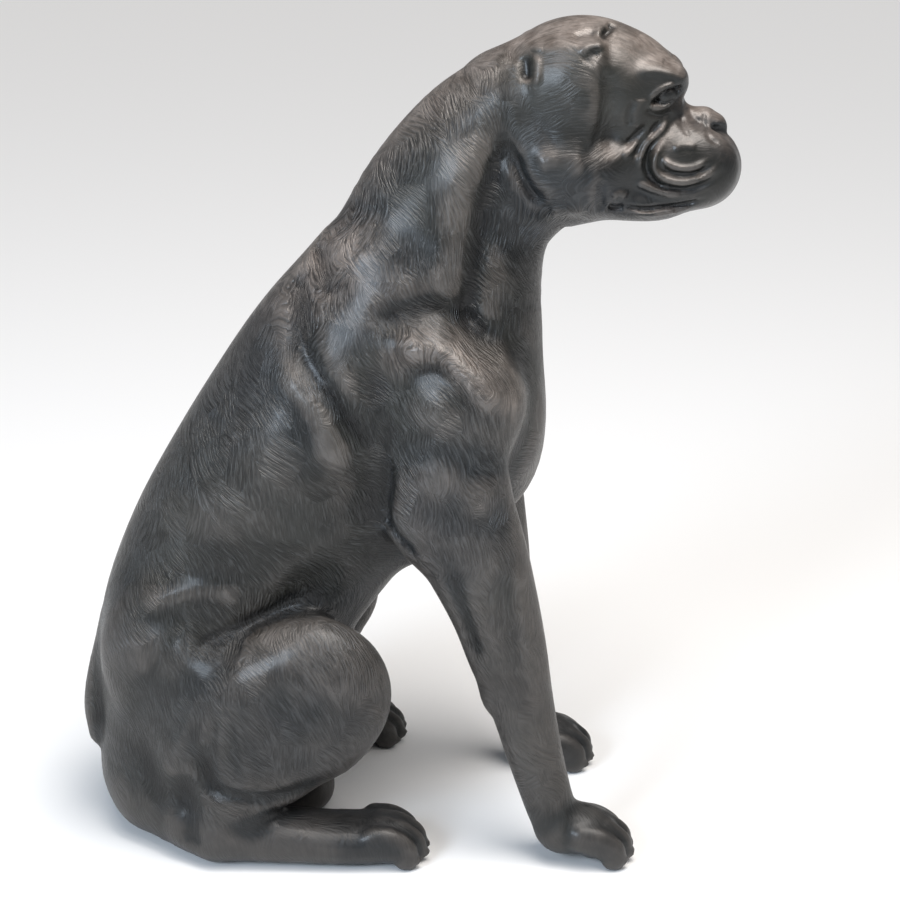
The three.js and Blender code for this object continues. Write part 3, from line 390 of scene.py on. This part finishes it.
def dog_field(p):
    """Below nought in the metal: the limbs and eggs melted together, less height exp(-(away / width)²)
    for each swelling and fold, with the ear flap melted on and the hollows carved out."""
    distance = np.full(len(p), FAR_AWAY, np.float32)
    side = near_side(p)
    for points, limbs, eggs in ((p, BODY, BODY_EGGS), (side, SIDE + toes_and_claws(), SIDE_EGGS)):
        for _, blend, stations in limbs:
            near = among(points, *limb_box(stations, max(blend, LEAST_LIMB_MELT) + LIMB_ROOM))
            if near.any():
                distance[near] = melt(distance[near], limb_distance(points[near], stations), blend)
        for _, blend, centre, radii in eggs:
            reach = max(radii) + EGG_ROOM
            near = among(points, np.float32(centre) - reach, np.float32(centre) + reach)
            if near.any():
                distance[near] = melt(distance[near], egg_distance(points[near], centre, radii), blend)
    skin = np.abs(distance) < SKIN
    for _, height, centre, reach in SWELLINGS:
        room = SWELLING_ROOM * np.float32(reach)
        near = skin & among(side, np.float32(centre) - room, np.float32(centre) + room)
        q = (side[near] - np.float32(centre)) / np.float32(reach)
        distance[near] -= height * np.exp(-(q * q).sum(1))
    near = skin & among(side, *EAR_BOX)
    x, y, z = side[near].T
    roll = EAR_ROLL_HEIGHT * np.exp(-((line_distance(x, z, EAR_ROLL) / EAR_ROLL_WIDTH) ** 2))
    forward = np.clip((x - EAR_THIN_END) / EAR_THIN_FADE, 0, 1)
    outward = np.clip((y - EAR_ROOT) / EAR_ROOT_FADE, 0, 1)
    thick = EAR_THICKNESS * (EAR_THIN_SHARE + (1 - EAR_THIN_SHARE) * forward) * outward
    flap = carve(edge_distance(x, z, EAR_EDGE), distance[near] - thick - roll, EAR_EDGE_ROUNDING)
    distance[near] = melt(distance[near], flap, EAR_MELT)
    for _, height, width, inner, line in FOLDS:
        x_low, z_low = np.min(line, 0) - FOLD_ROOM * width
        x_high, z_high = np.max(line, 0) + FOLD_ROOM * width
        near = skin & among(side, (x_low, inner - FOLD_FADE, z_low), (x_high, OUTSIDE_THE_DOG, z_high))
        length = np.hypot(*np.diff(line, axis=0).T).sum()
        taper = FOLD_TAPER if length > SHORT_FOLD * width else NO_TAPER
        away, inward = line_distance(side[near, 0], side[near, 2], smoothly(line), taper)
        fade = FOLD_END + (1 - FOLD_END) * inward
        fade = fade * np.clip((side[near, 1] - inner + FOLD_FADE) / FOLD_FADE, 0, 1)
        distance[near] -= height * fade * np.exp(-((away / width) ** 2))
    for _, blend, stations in HOLLOWS:
        near = skin & among(side, *limb_box(stations, HOLLOW_ROOM))
        distance[near] = carve(distance[near], -limb_distance(side[near], stations), blend)
    _, blend, stations = EYEBALL
    near = skin & among(side, *limb_box(stations, HOLLOW_ROOM))
    distance[near] = melt(distance[near], limb_distance(side[near], stations), blend)
    return np.maximum(distance, -p[:, 2])


# The field is worked out on every fourth node first. A block of four cells is near the surface
# if the field comes within NEAR_SURFACE cells of nought at one of its corners.
BLOCK = 4
NEAR_SURFACE = 7.6


def field_on_grid(step):
    """The field on a grid: one node in each block first, then all nodes of the blocks that the
    surface can cross."""
    low = np.array(DRAWING_LOW)
    blocks = np.ceil((np.array(DRAWING_HIGH) - low) / (BLOCK * step)).astype(int)
    nodes = np.stack(np.meshgrid(*[np.arange(b + 1) for b in blocks], indexing="ij"), -1)
    coarse = dog_field((nodes.reshape(-1, 3) * BLOCK * step + low).astype(np.float32)).reshape(blocks + 1)
    corners = [(i, j, k) for i in (0, 1) for j in (0, 1) for k in (0, 1)]
    at_corner = np.stack(
        [coarse[i : blocks[0] + i, j : blocks[1] + j, k : blocks[2] + k] for i, j, k in corners])
    crossed = (at_corner.min(0) < 0) & (at_corner.max(0) >= 0)
    near = (np.abs(at_corner).min(0) < NEAR_SURFACE * step) | crossed
    values = coarse
    for axis in range(3):
        values = np.repeat(values, BLOCK, axis)
    last = BLOCK * blocks + 1
    values = values[: last[0], : last[1], : last[2]].copy()
    inner = np.stack(np.meshgrid(*[np.arange(BLOCK + 1)] * 3, indexing="ij"), -1).reshape(-1, 3)
    wanted = np.zeros(values.shape, bool)
    wanted[tuple((np.argwhere(near)[:, None] * BLOCK + inner).reshape(-1, 3).T)] = True
    where = np.argwhere(wanted)
    values[wanted] = dog_field((where * step + low).astype(np.float32))
    return values


# The field's value at a node that is filled in to mend a pinch.
JUST_INSIDE = -0.1


def mend_pinches(values):
    """Fills the emptiest corner of each cell in which two sheets of the surface would meet, until
    no such cell is left."""
    ring = np.arange(256)[:, None] >> np.arange(8) & 1
    neighbours = [[c ^ 1, c ^ 2, c ^ 4] for c in range(8)]

    def in_one_piece(filled):
        """True where the filled corners of a cell hang together."""
        piece = np.zeros(8, bool)
        piece[np.argmax(filled)] = True
        for _ in range(8):
            piece |= filled.astype(bool) & piece[neighbours].any(1)
        return piece.sum() == filled.sum()

    whole = np.array([in_one_piece(f) and in_one_piece(1 - f) for f in ring])
    corners = [(c & 1, c >> 1 & 1, c >> 2) for c in range(8)]
    size = np.array(values.shape) - 1
    while True:
        mask = np.zeros(size, int)
        for c, (i, j, k) in enumerate(corners):
            mask |= (values[i : size[0] + i, j : size[1] + j, k : size[2] + k] < 0).astype(int) << c
        bad = np.argwhere(~whole[mask] & (mask > 0) & (mask < 255))
        if not len(bad):
            return
        nodes = bad[:, None] + np.array(corners)
        v = values[tuple(nodes.reshape(-1, 3).T)].reshape(-1, 8)
        pick = np.argmin(np.where(v < 0, np.inf, v), 1)
        values[tuple(nodes[np.arange(len(bad)), pick].T)] = JUST_INSIDE


def surface_of(values, step):
    """One point in each cell that the surface crosses, at the mean of its edge crossings, and a
    quad round each crossed grid edge."""
    metal = values < 0
    size = np.array(values.shape) - 1
    corners = [(i, j, k) for i in (0, 1) for j in (0, 1) for k in (0, 1)]
    filled = sum(metal[i : size[0] + i, j : size[1] + j, k : size[2] + k].astype(int) for i, j, k in corners)
    cells = np.argwhere((filled > 0) & (filled < 8))
    number = np.full(tuple(size), -1)
    number[tuple(cells.T)] = np.arange(len(cells))
    total = np.zeros((len(cells), 3))
    count = np.zeros(len(cells))
    for corner in corners:
        for axis in range(3):
            if corner[axis]:
                continue
            a = values[tuple((cells + corner).T)]
            other = np.array(corner)
            other[axis] = 1
            b = values[tuple((cells + other).T)]
            crossed = (a < 0) != (b < 0)
            place = np.repeat(np.float64([corner]), crossed.sum(), 0)
            place[:, axis] = a[crossed] / (a - b)[crossed]
            total[crossed] += place
            count[crossed] += 1
    points = (cells + total / count[:, None]) * step + DRAWING_LOW
    faces = []
    for axis in range(3):
        u, w = (axis + 1) % 3, (axis + 2) % 3
        start = np.take(metal, range(size[axis]), axis)
        end = np.take(metal, range(1, size[axis] + 1), axis)
        edges = np.argwhere(start != end)
        edges = edges[(edges[:, u] > 0) & (edges[:, w] > 0)]
        edges = edges[(edges[:, u] < size[u]) & (edges[:, w] < size[w])]
        turned = ~start[tuple(edges.T)]
        quad = []
        for s, t in ((1, 1), (0, 1), (0, 0), (1, 0)):
            cell = edges.copy()
            cell[:, u] -= s
            cell[:, w] -= t
            quad.append(number[tuple(cell.T)])
        quad = np.stack(quad, 1)
        quad[turned] = quad[turned][:, ::-1]
        faces.append(quad)
    return points, np.vstack(faces)


def shorter_diagonals(points, quads):
    """Each quad as two triangles along its shorter diagonal."""
    p = points[quads]
    first = ((p[:, 0] - p[:, 2]) ** 2).sum(1) < ((p[:, 1] - p[:, 3]) ** 2).sum(1)
    a, b = quads[first], quads[~first]
    return np.vstack([a[:, [0, 1, 2]], a[:, [0, 2, 3]], b[:, [0, 1, 3]], b[:, [1, 2, 3]]])


def split_where(points, faces, wanted):
    """Halves every edge of the wanted faces. A neighbour with one or two halved edges becomes two
    or three triangles."""
    edges = np.sort(faces[:, [[0, 1], [1, 2], [2, 0]]].reshape(-1, 2), 1)
    unique, back = np.unique(edges, axis=0, return_inverse=True)
    back = back.reshape(-1, 3)
    halved = np.zeros(len(unique), bool)
    halved[back[wanted].ravel()] = True
    new = np.full(len(unique), -1)
    new[halved] = len(points) + np.arange(halved.sum())
    middle = points[unique[halved]].mean(1)
    m = new[back]
    count = (m >= 0).sum(1)
    out = [faces[count == 0]]
    f, n = faces[count == 3], m[count == 3]
    out += [np.stack([f[:, 0], n[:, 0], n[:, 2]], 1), np.stack([n[:, 0], f[:, 1], n[:, 1]], 1)]
    out += [np.stack([n[:, 2], n[:, 1], f[:, 2]], 1), n]
    for k in range(3):
        one = (count == 1) & (m[:, k] >= 0)
        a, b, c = faces[one][:, [k, (k + 1) % 3, (k + 2) % 3]].T
        mid = m[one, k]
        out += [np.stack([a, mid, c], 1), np.stack([mid, b, c], 1)]
        two = (count == 2) & (m[:, k] < 0)
        a, b, c = faces[two][:, [k, (k + 1) % 3, (k + 2) % 3]].T
        bc, ca = m[two, (k + 1) % 3], m[two, (k + 2) % 3]
        out += [np.stack([a, b, bc], 1), np.stack([a, bc, ca], 1), np.stack([ca, bc, c], 1)]
    return np.vstack([points, middle]), np.vstack(out)


# The slope is measured over PROBE. A point moves no further than LONGEST_STEP at a time, and a
# slope flatter than FLATTEST counts as that.
PROBE = 0.6
LONGEST_STEP = 1.5
FLATTEST = 0.2


def settled(points, rounds=2):
    """Points moved on to the surface by distance / |slope|² along the slope of the field. Those of
    the sole are laid on the floor."""
    moved = points.copy()
    sole = moved[:, 2] < SOLE_REACH
    for _ in range(rounds):
        distance = dog_field(moved.astype(np.float32))
        slope = np.stack(
            [(dog_field((moved + PROBE * e).astype(np.float32)) - distance) / PROBE for e in np.eye(3)], 1)
        steepness = (slope**2).sum(1)
        step = np.clip(distance / np.maximum(steepness, FLATTEST), -LONGEST_STEP, LONGEST_STEP)
        moved -= step[:, None] * slope
        moved[:, 2] = np.maximum(moved[:, 2], SOLE_REACH)
        moved[sole] = points[sole]
        moved[sole, 2] = 0
    return moved


# The surface's faces are halved on the head and the paws, and once more on the face: where each
# begins in x and z, the hind paws in x and across from the middle.
HEAD_FROM = (48, 636)
FACE_FROM = (138, 645)
FACE_TOP = 800
PAW_TOP = 66
FORE_PAW_FROM = 96
HIND_PAW_FROM = (-110, 60)

values = field_on_grid(CELL)
mend_pinches(values)
points, quads = surface_of(values, CELL)
faces = shorter_diagonals(points, quads)
x, y, z = points[faces].mean(1).T
on_head = (x > HEAD_FROM[0]) & (z > HEAD_FROM[1])
on_hind_paw = (x > HIND_PAW_FROM[0]) & (np.abs(y) > HIND_PAW_FROM[1])
on_paw = (z < PAW_TOP) & ((x > FORE_PAW_FROM) | on_hind_paw)
points, faces = split_where(points, faces, on_head | on_paw)
x, _, z = points[faces].mean(1).T
points, faces = split_where(points, faces, (x > FACE_FROM[0]) & (z > FACE_FROM[1]) & (z < FACE_TOP))
points = settled(points)

# The casting stands in the middle of its own box on the floor, and fills exactly the solid's box.
box_low, box_high = (np.array(c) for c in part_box("dog"))
drawn_low, drawn_high = points.min(0), points.max(0)


def in_the_box(drawn):
    """A place in the drawing carried to the casting: its share of the drawn box, taken in the solid's box."""
    return (drawn - drawn_low) / (drawn_high - drawn_low) * (box_high - box_low) + box_low


verts = in_the_box(points)
mesh = bpy.data.meshes.new("dog_casting")
mesh.from_pydata(verts.tolist(), [], faces.tolist())
mesh.polygons.foreach_set("use_smooth", np.ones(len(faces), bool))
mesh.update()
dog = bpy.data.objects.new("dog_casting", mesh)
bpy.context.scene.collection.objects.link(dog)

# What the patina follows, kept on each point: which way the coat lies, how deep it is combed, how much
# painted top light and painted highlight, with a little wear on raised edges, turn the metal brown, and how
# deep in a fold the point lies, where shade is painted.
normal = np.zeros((len(points), 3), np.float32)
mesh.vertices.foreach_get("normal", normal.reshape(-1))
x, z = points[:, 0], points[:, 2]
trunk = run_of_stations(BODY[0][2])
trunk_slope = np.degrees(np.arctan2(-np.diff(trunk[:, 0]), np.diff(trunk[:, 2])))
trunk_down = np.interp(z, trunk[1:, 2], trunk_slope)


def share(value, nought, one):
    """How far value has come from nought to one, smoothly: 3s² - 2s³."""
    s = np.clip((value - nought) / (one - nought), 0, 1)
    return s * s * (3 - 2 * s)


# The coat lies with the spine along the back, down the legs, down and forward on the thigh and back
# on the head: degrees from straight down, turning toward the tail, and where in x and in z each
# takes over from the spine.
COAT_LIES = [
    ["forelegs", 14, (-70, -20), (420, 360)],
    ["thighs", 28, (-80, -120), (290, 240)],
    ["head", -78, (40, 70), (640, 690)],
]
lie = -trunk_down
for _, turned, along, up in COAT_LIES:
    lie = lie + (turned - lie) * share(x, *along) * share(z, *up)
lie = np.radians(lie)
coat_way = np.stack([np.sin(lie), 0 * lie, -np.cos(lie)], 1)

# It is combed less deep on the head, the face, the paws and the forelegs.
on_head = share(x, 40, 70) * share(z, 640, 680)
on_face = share(x, 130, 165) * share(z, 640, 660)
on_paws = share(z, 70, 40)
on_forelegs = share(x, -40, 0) * share(z, 400, 300)
coat_depth = 1 - 0.55 * on_head - 0.3 * on_face - 0.6 * on_paws - 0.25 * on_forelegs

# Painted top light: the metal is painted brown where it looks up, more so the higher it is, and painted
# highlights lie at the withers,
# the haunch and the ridge of the shoulder: how much, the middle in x and z, and the reach.
PAINTED_HIGHLIGHT_SPOTS = [["withers", 0.75, (-112, 606), 42], ["haunch", 0.3, (-180, 250), 38]]
SHOULDER_HIGHLIGHT, SHOULDER_HIGHLIGHT_WIDTH, OUTSIDE_OF_SHOULDER = 0.8, 14, 70
top_light_and_wear = share(normal[:, 2], 0.25, 0.9) * (0.15 + 0.85 * share(z, 430, 740))
top_light_and_wear += 0.35 * share(normal[:, 2], 0.0, 0.6) * on_head
for _, amount, (spot_x, spot_z), reach in PAINTED_HIGHLIGHT_SPOTS:
    top_light_and_wear += amount * np.exp(-((x - spot_x) ** 2 + (z - spot_z) ** 2) / reach**2)
from_ridge = line_distance(x, z, SHOULDER_RIDGE) / SHOULDER_HIGHLIGHT_WIDTH
top_light_and_wear += SHOULDER_HIGHLIGHT * np.exp(-(from_ridge**2)) * (abs(points[:, 1]) > OUTSIDE_OF_SHOULDER)

# A point lies in a fold by as much as the surface smoothed over SMOOTHING rounds stands out past it, which
# paints the fold darker, as patina and painted shade. The eyes and nostrils count deeper still, for painted
# shade in them: their middles and reach.
SMOOTHING = 10
PAINTED_SHADE_PITS = [["eye", (200, 40, 766), 10], ["nostril", (255, 15, 728), 8]]
PIT_SHADE = 2.4
edges = np.sort(faces[:, [[0, 1], [1, 2], [2, 0]]].reshape(-1, 2), 1)
edges = np.unique(edges, axis=0)
start, end = edges.T
degree = np.bincount(edges.ravel(), minlength=len(points))
smooth = points.copy()
for _ in range(SMOOTHING):
    total = np.stack(
        [np.bincount(start, smooth[end, k], len(points)) + np.bincount(end, smooth[start, k], len(points))
         for k in range(3)], 1)
    smooth = total / degree[:, None]
hollow = ((smooth - points) * normal).sum(1)
for _, (pit_x, pit_y, pit_z), reach in PAINTED_SHADE_PITS:
    away = (x - pit_x) ** 2 + (abs(points[:, 1]) - pit_y) ** 2 + (z - pit_z) ** 2
    hollow += PIT_SHADE * np.exp(-away / reach**2)

# The painted top light on the muzzle below the top of the nose is half as strong, and raised edges are worn a
# little lighter.
top_light_and_wear *= 1 - 0.5 * share(x, 195, 215) * share(z, 745, 730)
top_light_and_wear += 0.25 * np.clip(-hollow - 0.4, 0, 1.5)

for name, kind, data in (
    ("coat_way", "FLOAT_VECTOR", coat_way),
    ("coat_depth", "FLOAT", coat_depth),
    ("top_light_and_wear", "FLOAT", top_light_and_wear),
    ("hollow", "FLOAT", hollow),
):
    layer = mesh.attributes.new(name, kind, "POINT")
    field = "vector" if kind == "FLOAT_VECTOR" else "value"
    layer.data.foreach_set(field, np.asarray(data, np.float32).ravel())

# Its patina: near-black iron, waxed to a half gloss, painted a warm brown on top as top light and highlight,
# and painted darker in the folds as patina and shade.
# The coat is combed into the clay in short strokes that overlap in patches as wide as a hand.
patina = bpy.data.materials.new("waxed_iron_patina")
patina.use_nodes = True
nodes, links = patina.node_tree.nodes, patina.node_tree.links
shader = nodes["Principled BSDF"]


def feed(node, key, value):
    """Links a socket to a node's input, or sets a plain value on it."""
    if isinstance(value, bpy.types.NodeSocket):
        links.new(value, node.inputs[key])
    else:
        node.inputs[key].default_value = value


def sums(operation, *values):
    """A sum on numbers."""
    node = nodes.new("ShaderNodeMath")
    node.operation = operation
    for i, value in enumerate(values):
        feed(node, i, value)
    return node.outputs[0]


def vectors(operation, *values, output=0):
    """A sum on vectors."""
    node = nodes.new("ShaderNodeVectorMath")
    node.operation = operation
    for i, value in enumerate(values):
        feed(node, i, value)
    return node.outputs[output]


def scaled(vector, factor):
    """A vector times a number."""
    node = nodes.new("ShaderNodeVectorMath")
    node.operation = "SCALE"
    feed(node, 0, vector)
    feed(node, "Scale", factor)
    return node.outputs[0]


def spread(value, low, high, low_to=0.0, high_to=1.0):
    """Value carried from low and high to other ends, held between them."""
    node = nodes.new("ShaderNodeMapRange")
    for i, part in enumerate((value, low, high, low_to, high_to)):
        feed(node, i, part)
    return node.outputs[0]


def blend(share_of_b, a, b):
    """Colour a passing into colour b."""
    node = nodes.new("ShaderNodeMix")
    node.data_type = "RGBA"
    feed(node, 0, share_of_b)
    feed(node, 6, a)
    feed(node, 7, b)
    return node.outputs[2]


def kept(name, output):
    """An attribute of the mesh."""
    node = nodes.new("ShaderNodeAttribute")
    node.attribute_name = name
    return node.outputs[output]


def speckle(place, scale, detail=2.0, rough=0.5):
    """A noise between nought and one."""
    node = nodes.new("ShaderNodeTexNoise")
    feed(node, "Vector", place)
    node.inputs["Scale"].default_value = scale
    node.inputs["Detail"].default_value = detail
    node.inputs["Roughness"].default_value = rough
    return node.outputs[0]


# The way of the coat, laid flat on the surface, and the way across it.
coordinates = nodes.new("ShaderNodeTexCoord")
place = coordinates.outputs["Object"]
out_of_metal = coordinates.outputs["Normal"]
way = kept("coat_way", "Vector")
way_out = vectors("DOT_PRODUCT", way, out_of_metal, output="Value")
flat_way = vectors("NORMALIZE", vectors("SUBTRACT", way, scaled(out_of_metal, way_out)))
across_way = vectors("CROSS_PRODUCT", out_of_metal, flat_way)


# A patch's edge wanders by WANDER metres. Its strokes turn by up to MOST_TURN radians, bow by up to
# MOST_BOW a metre, and differ from the next patch's by their place in the noise.
WANDER, WANDER_SCALE = 0.016, 26
MOST_TURN = 0.62
MOST_BOW = 9
PATCH_STEP = 40.0


def combing(offset, patches_per_metre, stroke_length, stroke_gap):
    """Strokes of one layer, nought to one, and how near the middle of a patch they are: noise at
    (along / length, across / gap) in each patch of a Voronoi pattern, turned by a chance angle."""
    moved = vectors("ADD", place, offset)
    patch = nodes.new("ShaderNodeTexVoronoi")
    wander = nodes.new("ShaderNodeTexNoise")
    wander.inputs["Scale"].default_value = WANDER_SCALE
    feed(wander, "Vector", moved)
    feed(patch, "Vector", vectors("MULTIPLY_ADD", wander.outputs["Color"], (WANDER, WANDER, WANDER), moved))
    patch.inputs["Scale"].default_value = patches_per_metre
    local = vectors("SUBTRACT", moved, patch.outputs["Position"])
    chance = nodes.new("ShaderNodeSeparateColor")
    links.new(patch.outputs["Color"], chance.inputs[0])
    turn = spread(chance.outputs[0], 0, 1, -MOST_TURN, MOST_TURN)
    along = vectors("DOT_PRODUCT", local, flat_way, output="Value")
    across = vectors("DOT_PRODUCT", local, across_way, output="Value")
    cosine, sine = sums("COSINE", turn), sums("SINE", turn)
    stroke_way = sums("ADD", sums("MULTIPLY", along, cosine), sums("MULTIPLY", across, sine))
    stroke_side = sums("SUBTRACT", sums("MULTIPLY", across, cosine), sums("MULTIPLY", along, sine))
    bow = spread(chance.outputs[1], 0, 1, -MOST_BOW, MOST_BOW)
    stroke_side = sums("ADD", stroke_side, sums("MULTIPLY", sums("MULTIPLY", stroke_way, stroke_way), bow))
    grid = nodes.new("ShaderNodeCombineXYZ")
    feed(grid, 0, sums("DIVIDE", stroke_way, stroke_length))
    feed(grid, 1, sums("DIVIDE", stroke_side, stroke_gap))
    feed(grid, 2, sums("MULTIPLY", chance.outputs[2], PATCH_STEP))
    strokes = speckle(grid.outputs[0], 1.0, 2.0, 0.55)
    edge = spread(patch.outputs["Distance"], 0.25, 0.95, 1.0, 0.15)
    return spread(strokes, 0.34, 0.66), edge


# Two layers of patches: where one ends, the other lies over it. The strokes are cut up to
# STROKE_RELIEF metres deep, over the grain of the sand mould.
STROKE_RELIEF, STROKE_STRENGTH = 0.0016, 0.95
GRAIN_RELIEF, GRAIN_STRENGTH = 0.0006, 0.35
first, first_edge = combing((0, 0, 0), 21, 0.017, 0.0021)
second, second_edge = combing((0.31, 0.17, 0.23), 27, 0.013, 0.0018)
second_over = spread(sums("SUBTRACT", second_edge, first_edge), -0.15, 0.15)
first_over = sums("SUBTRACT", 1.0, second_over)
strokes = sums("ADD", sums("MULTIPLY", first, first_over), sums("MULTIPLY", second, second_over))
patchy = spread(speckle(place, 9, 2.0), 0.34, 0.6, 0.5, 1.0)
depth = sums("MULTIPLY", kept("coat_depth", "Fac"), patchy)
relief = nodes.new("ShaderNodeBump")
relief.inputs["Distance"].default_value = STROKE_RELIEF
feed(relief, "Strength", sums("MULTIPLY", depth, STROKE_STRENGTH))
feed(relief, "Height", strokes)
grain = nodes.new("ShaderNodeBump")
grain.inputs["Distance"].default_value = GRAIN_RELIEF
grain.inputs["Strength"].default_value = GRAIN_STRENGTH
feed(grain, "Height", speckle(place, 330, 3.0, 0.6))
links.new(relief.outputs[0], grain.inputs["Normal"])
links.new(grain.outputs[0], shader.inputs["Normal"])

# The patina's colours.
BLACK_IRON = (0.005, 0.0055, 0.005, 1)
GREY_IRON = (0.026, 0.026, 0.022, 1)
BLUE_IRON = (0.016, 0.021, 0.028, 1)
# The brown of the painted top light and highlights, and of the wear on raised edges.
LIT_AND_WORN_BROWN = (0.12, 0.095, 0.08, 1)
LIT_AND_WORN_PALE = (0.26, 0.22, 0.195, 1)
STROKE_CREST = (0.085, 0.088, 0.09, 1)
STROKE_BOTTOM = (0.002, 0.002, 0.002, 1)
# Painted shade with patina in the folds, and painted shade in the eyes and nostrils.
FOLD_PATINA_AND_SHADE = (0.006, 0.006, 0.0065, 1)
RAISED_EDGE = (0.13, 0.12, 0.11, 1)
# Painted shade low down, darker towards the floor.
PAINTED_LOW_SHADE = (0.006, 0.006, 0.0055, 1)

cloud = speckle(place, 7, 3.0, 0.6)
bluish = spread(speckle(vectors("ADD", place, (3, 1, 2)), 4.5, 2.0), 0.42, 0.6)
iron = blend(spread(cloud, 0.35, 0.65), BLACK_IRON, GREY_IRON)
iron = blend(sums("MULTIPLY", bluish, 0.5), iron, BLUE_IRON)
brown = blend(spread(speckle(place, 60, 3.0, 0.6), 0.35, 0.7), LIT_AND_WORN_BROWN, LIT_AND_WORN_PALE)
# How much painted top light, painted highlight and edge wear show, broken into patches and by the strokes.
top_light_and_wear_patches = spread(speckle(place, 22, 3.0, 0.6), 0.3, 0.65, 0.45, 1.0)
top_light_and_wear_share = sums("MULTIPLY", kept("top_light_and_wear", "Fac"), top_light_and_wear_patches)
top_light_and_wear_share = sums("MULTIPLY", top_light_and_wear_share, spread(strokes, 0.2, 0.9, 0.7, 1.0))
crests = sums("MULTIPLY", spread(strokes, 0.55, 1.0), sums("MULTIPLY", depth, 0.42))
bottoms = sums("MULTIPLY", spread(strokes, 0.6, 0.05), sums("MULTIPLY", depth, 0.75))
in_fold = kept("hollow", "Fac")
height = nodes.new("ShaderNodeSeparateXYZ")
links.new(place, height.inputs[0])
# Painted top light and highlights, with some wear on raised edges, turn the iron brown.
tone = blend(sums("MINIMUM", top_light_and_wear_share, 1.0), iron, brown)
tone = blend(crests, tone, STROKE_CREST)
tone = blend(bottoms, tone, STROKE_BOTTOM)
# Painted shade darkens the folds, eyes and nostrils, together with the patina in the folds; raised edges are
# worn lighter.
tone = blend(spread(in_fold, 0.25, 2.2, 0.0, 0.8), tone, FOLD_PATINA_AND_SHADE)
tone = blend(spread(in_fold, -0.5, -2.5, 0.0, 0.35), tone, RAISED_EDGE)
# Painted shade: darker towards the floor.
tone = blend(spread(height.outputs[2], 0.02, 0.42, 0.5, 0.0), tone, PAINTED_LOW_SHADE)
links.new(tone, shader.inputs["Base Color"])
shader.inputs["Metallic"].default_value = 0.15
shader.inputs["Specular IOR Level"].default_value = 0.4
shader.inputs["Coat Weight"].default_value = 0.2
shader.inputs["Coat Roughness"].default_value = 0.22
duller_low_down = spread(height.outputs[2], 0.05, 0.4, 0.1, 0.0)
roughness = spread(speckle(place, 30, 3.0, 0.6), 0.3, 0.7, 0.33, 0.5)
feed(shader, "Roughness", sums("ADD", duller_low_down, roughness))
mesh.materials.append(patina)
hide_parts("dog")
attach(dog, "root")

# The camera stands on the dog's right, two metres away and above the head, and looks down.
# Its place is in the drawing's millimetres. The lens gives the photograph's size of the dog.
CAMERA_PLACE = (0, -2045, 1143)
CAMERA_LOOKS_DOWN = 19.9
LENS, FILM_WIDTH = 87.3, 36
FARTHEST_SEEN = 50
camera = bpy.data.objects.new("camera", bpy.data.cameras.new("camera"))
camera.data.lens = LENS
camera.data.sensor_width = FILM_WIDTH
camera.data.clip_end = FARTHEST_SEEN
camera.location = in_the_box(np.array(CAMERA_PLACE))
camera.rotation_euler = (math.radians(90 - CAMERA_LOOKS_DOWN), 0, 0)
bpy.context.scene.collection.objects.link(camera)
bpy.context.scene.camera = camera

# A plain pale floor, which reaches far past the picture.
FLOOR_REACH = 30
FLOOR_GREY = (0.86, 0.86, 0.86, 1)
floor_mesh = bpy.data.meshes.new("floor")
floor_corners = [(FLOOR_REACH * i, FLOOR_REACH * j, 0) for i, j in ((-1, -1), (1, -1), (1, 1), (-1, 1))]
floor_mesh.from_pydata(floor_corners, [], [(0, 1, 2, 3)])
floor = bpy.data.objects.new("floor", floor_mesh)
floor_paint = bpy.data.materials.new("pale_floor")
floor_paint.use_nodes = True
floor_paint.node_tree.nodes["Principled BSDF"].inputs["Base Color"].default_value = FLOOR_GREY
floor_paint.node_tree.nodes["Principled BSDF"].inputs["Roughness"].default_value = 0.9
floor_mesh.materials.append(floor_paint)
bpy.context.scene.collection.objects.link(floor)

# Soft studio light: a bluish panel as of a window on the camera's side, a warm one overhead, and
# a wide soft light from above, in a pale room.
def soft_panel(name, place, target, size, power, colour):
    """An area light of that size at place, turned to face target."""
    light = bpy.data.lights.new(name, "AREA")
    light.shape = "RECTANGLE"
    light.size, light.size_y = size
    light.energy = power
    light.color = colour
    panel = bpy.data.objects.new(name, light)
    panel.location = place
    panel.rotation_euler = (Vector(target) - Vector(place)).to_track_quat("-Z", "Y").to_euler()
    bpy.context.scene.collection.objects.link(panel)


soft_panel("window_panel", (-2.0, -2.7, 2.0), (0, 0, 0.45), (1.2, 1.4), 100, (0.74, 0.86, 1))
soft_panel("ceiling_panel", (0.5, -0.5, 2.5), (0, 0, 0.5), (1.2, 1.2), 34, (1, 0.95, 0.9))
overhead = bpy.data.lights.new("overhead", "SUN")
overhead.energy = 2.1
overhead.angle = math.radians(50)
overhead.color = (1, 0.97, 0.94)
overhead_lamp = bpy.data.objects.new("overhead", overhead)
overhead_lamp.rotation_euler = (math.radians(18), math.radians(14), 0)
bpy.context.scene.collection.objects.link(overhead_lamp)
room = bpy.data.worlds.new("pale_room")
room.use_nodes = True
room.node_tree.nodes["Background"].inputs["Color"].default_value = (0.9, 0.94, 1, 1)
room.node_tree.nodes["Background"].inputs["Strength"].default_value = 0.18
bpy.context.scene.world = room
bpy.context.scene.view_settings.view_transform = "Standard"
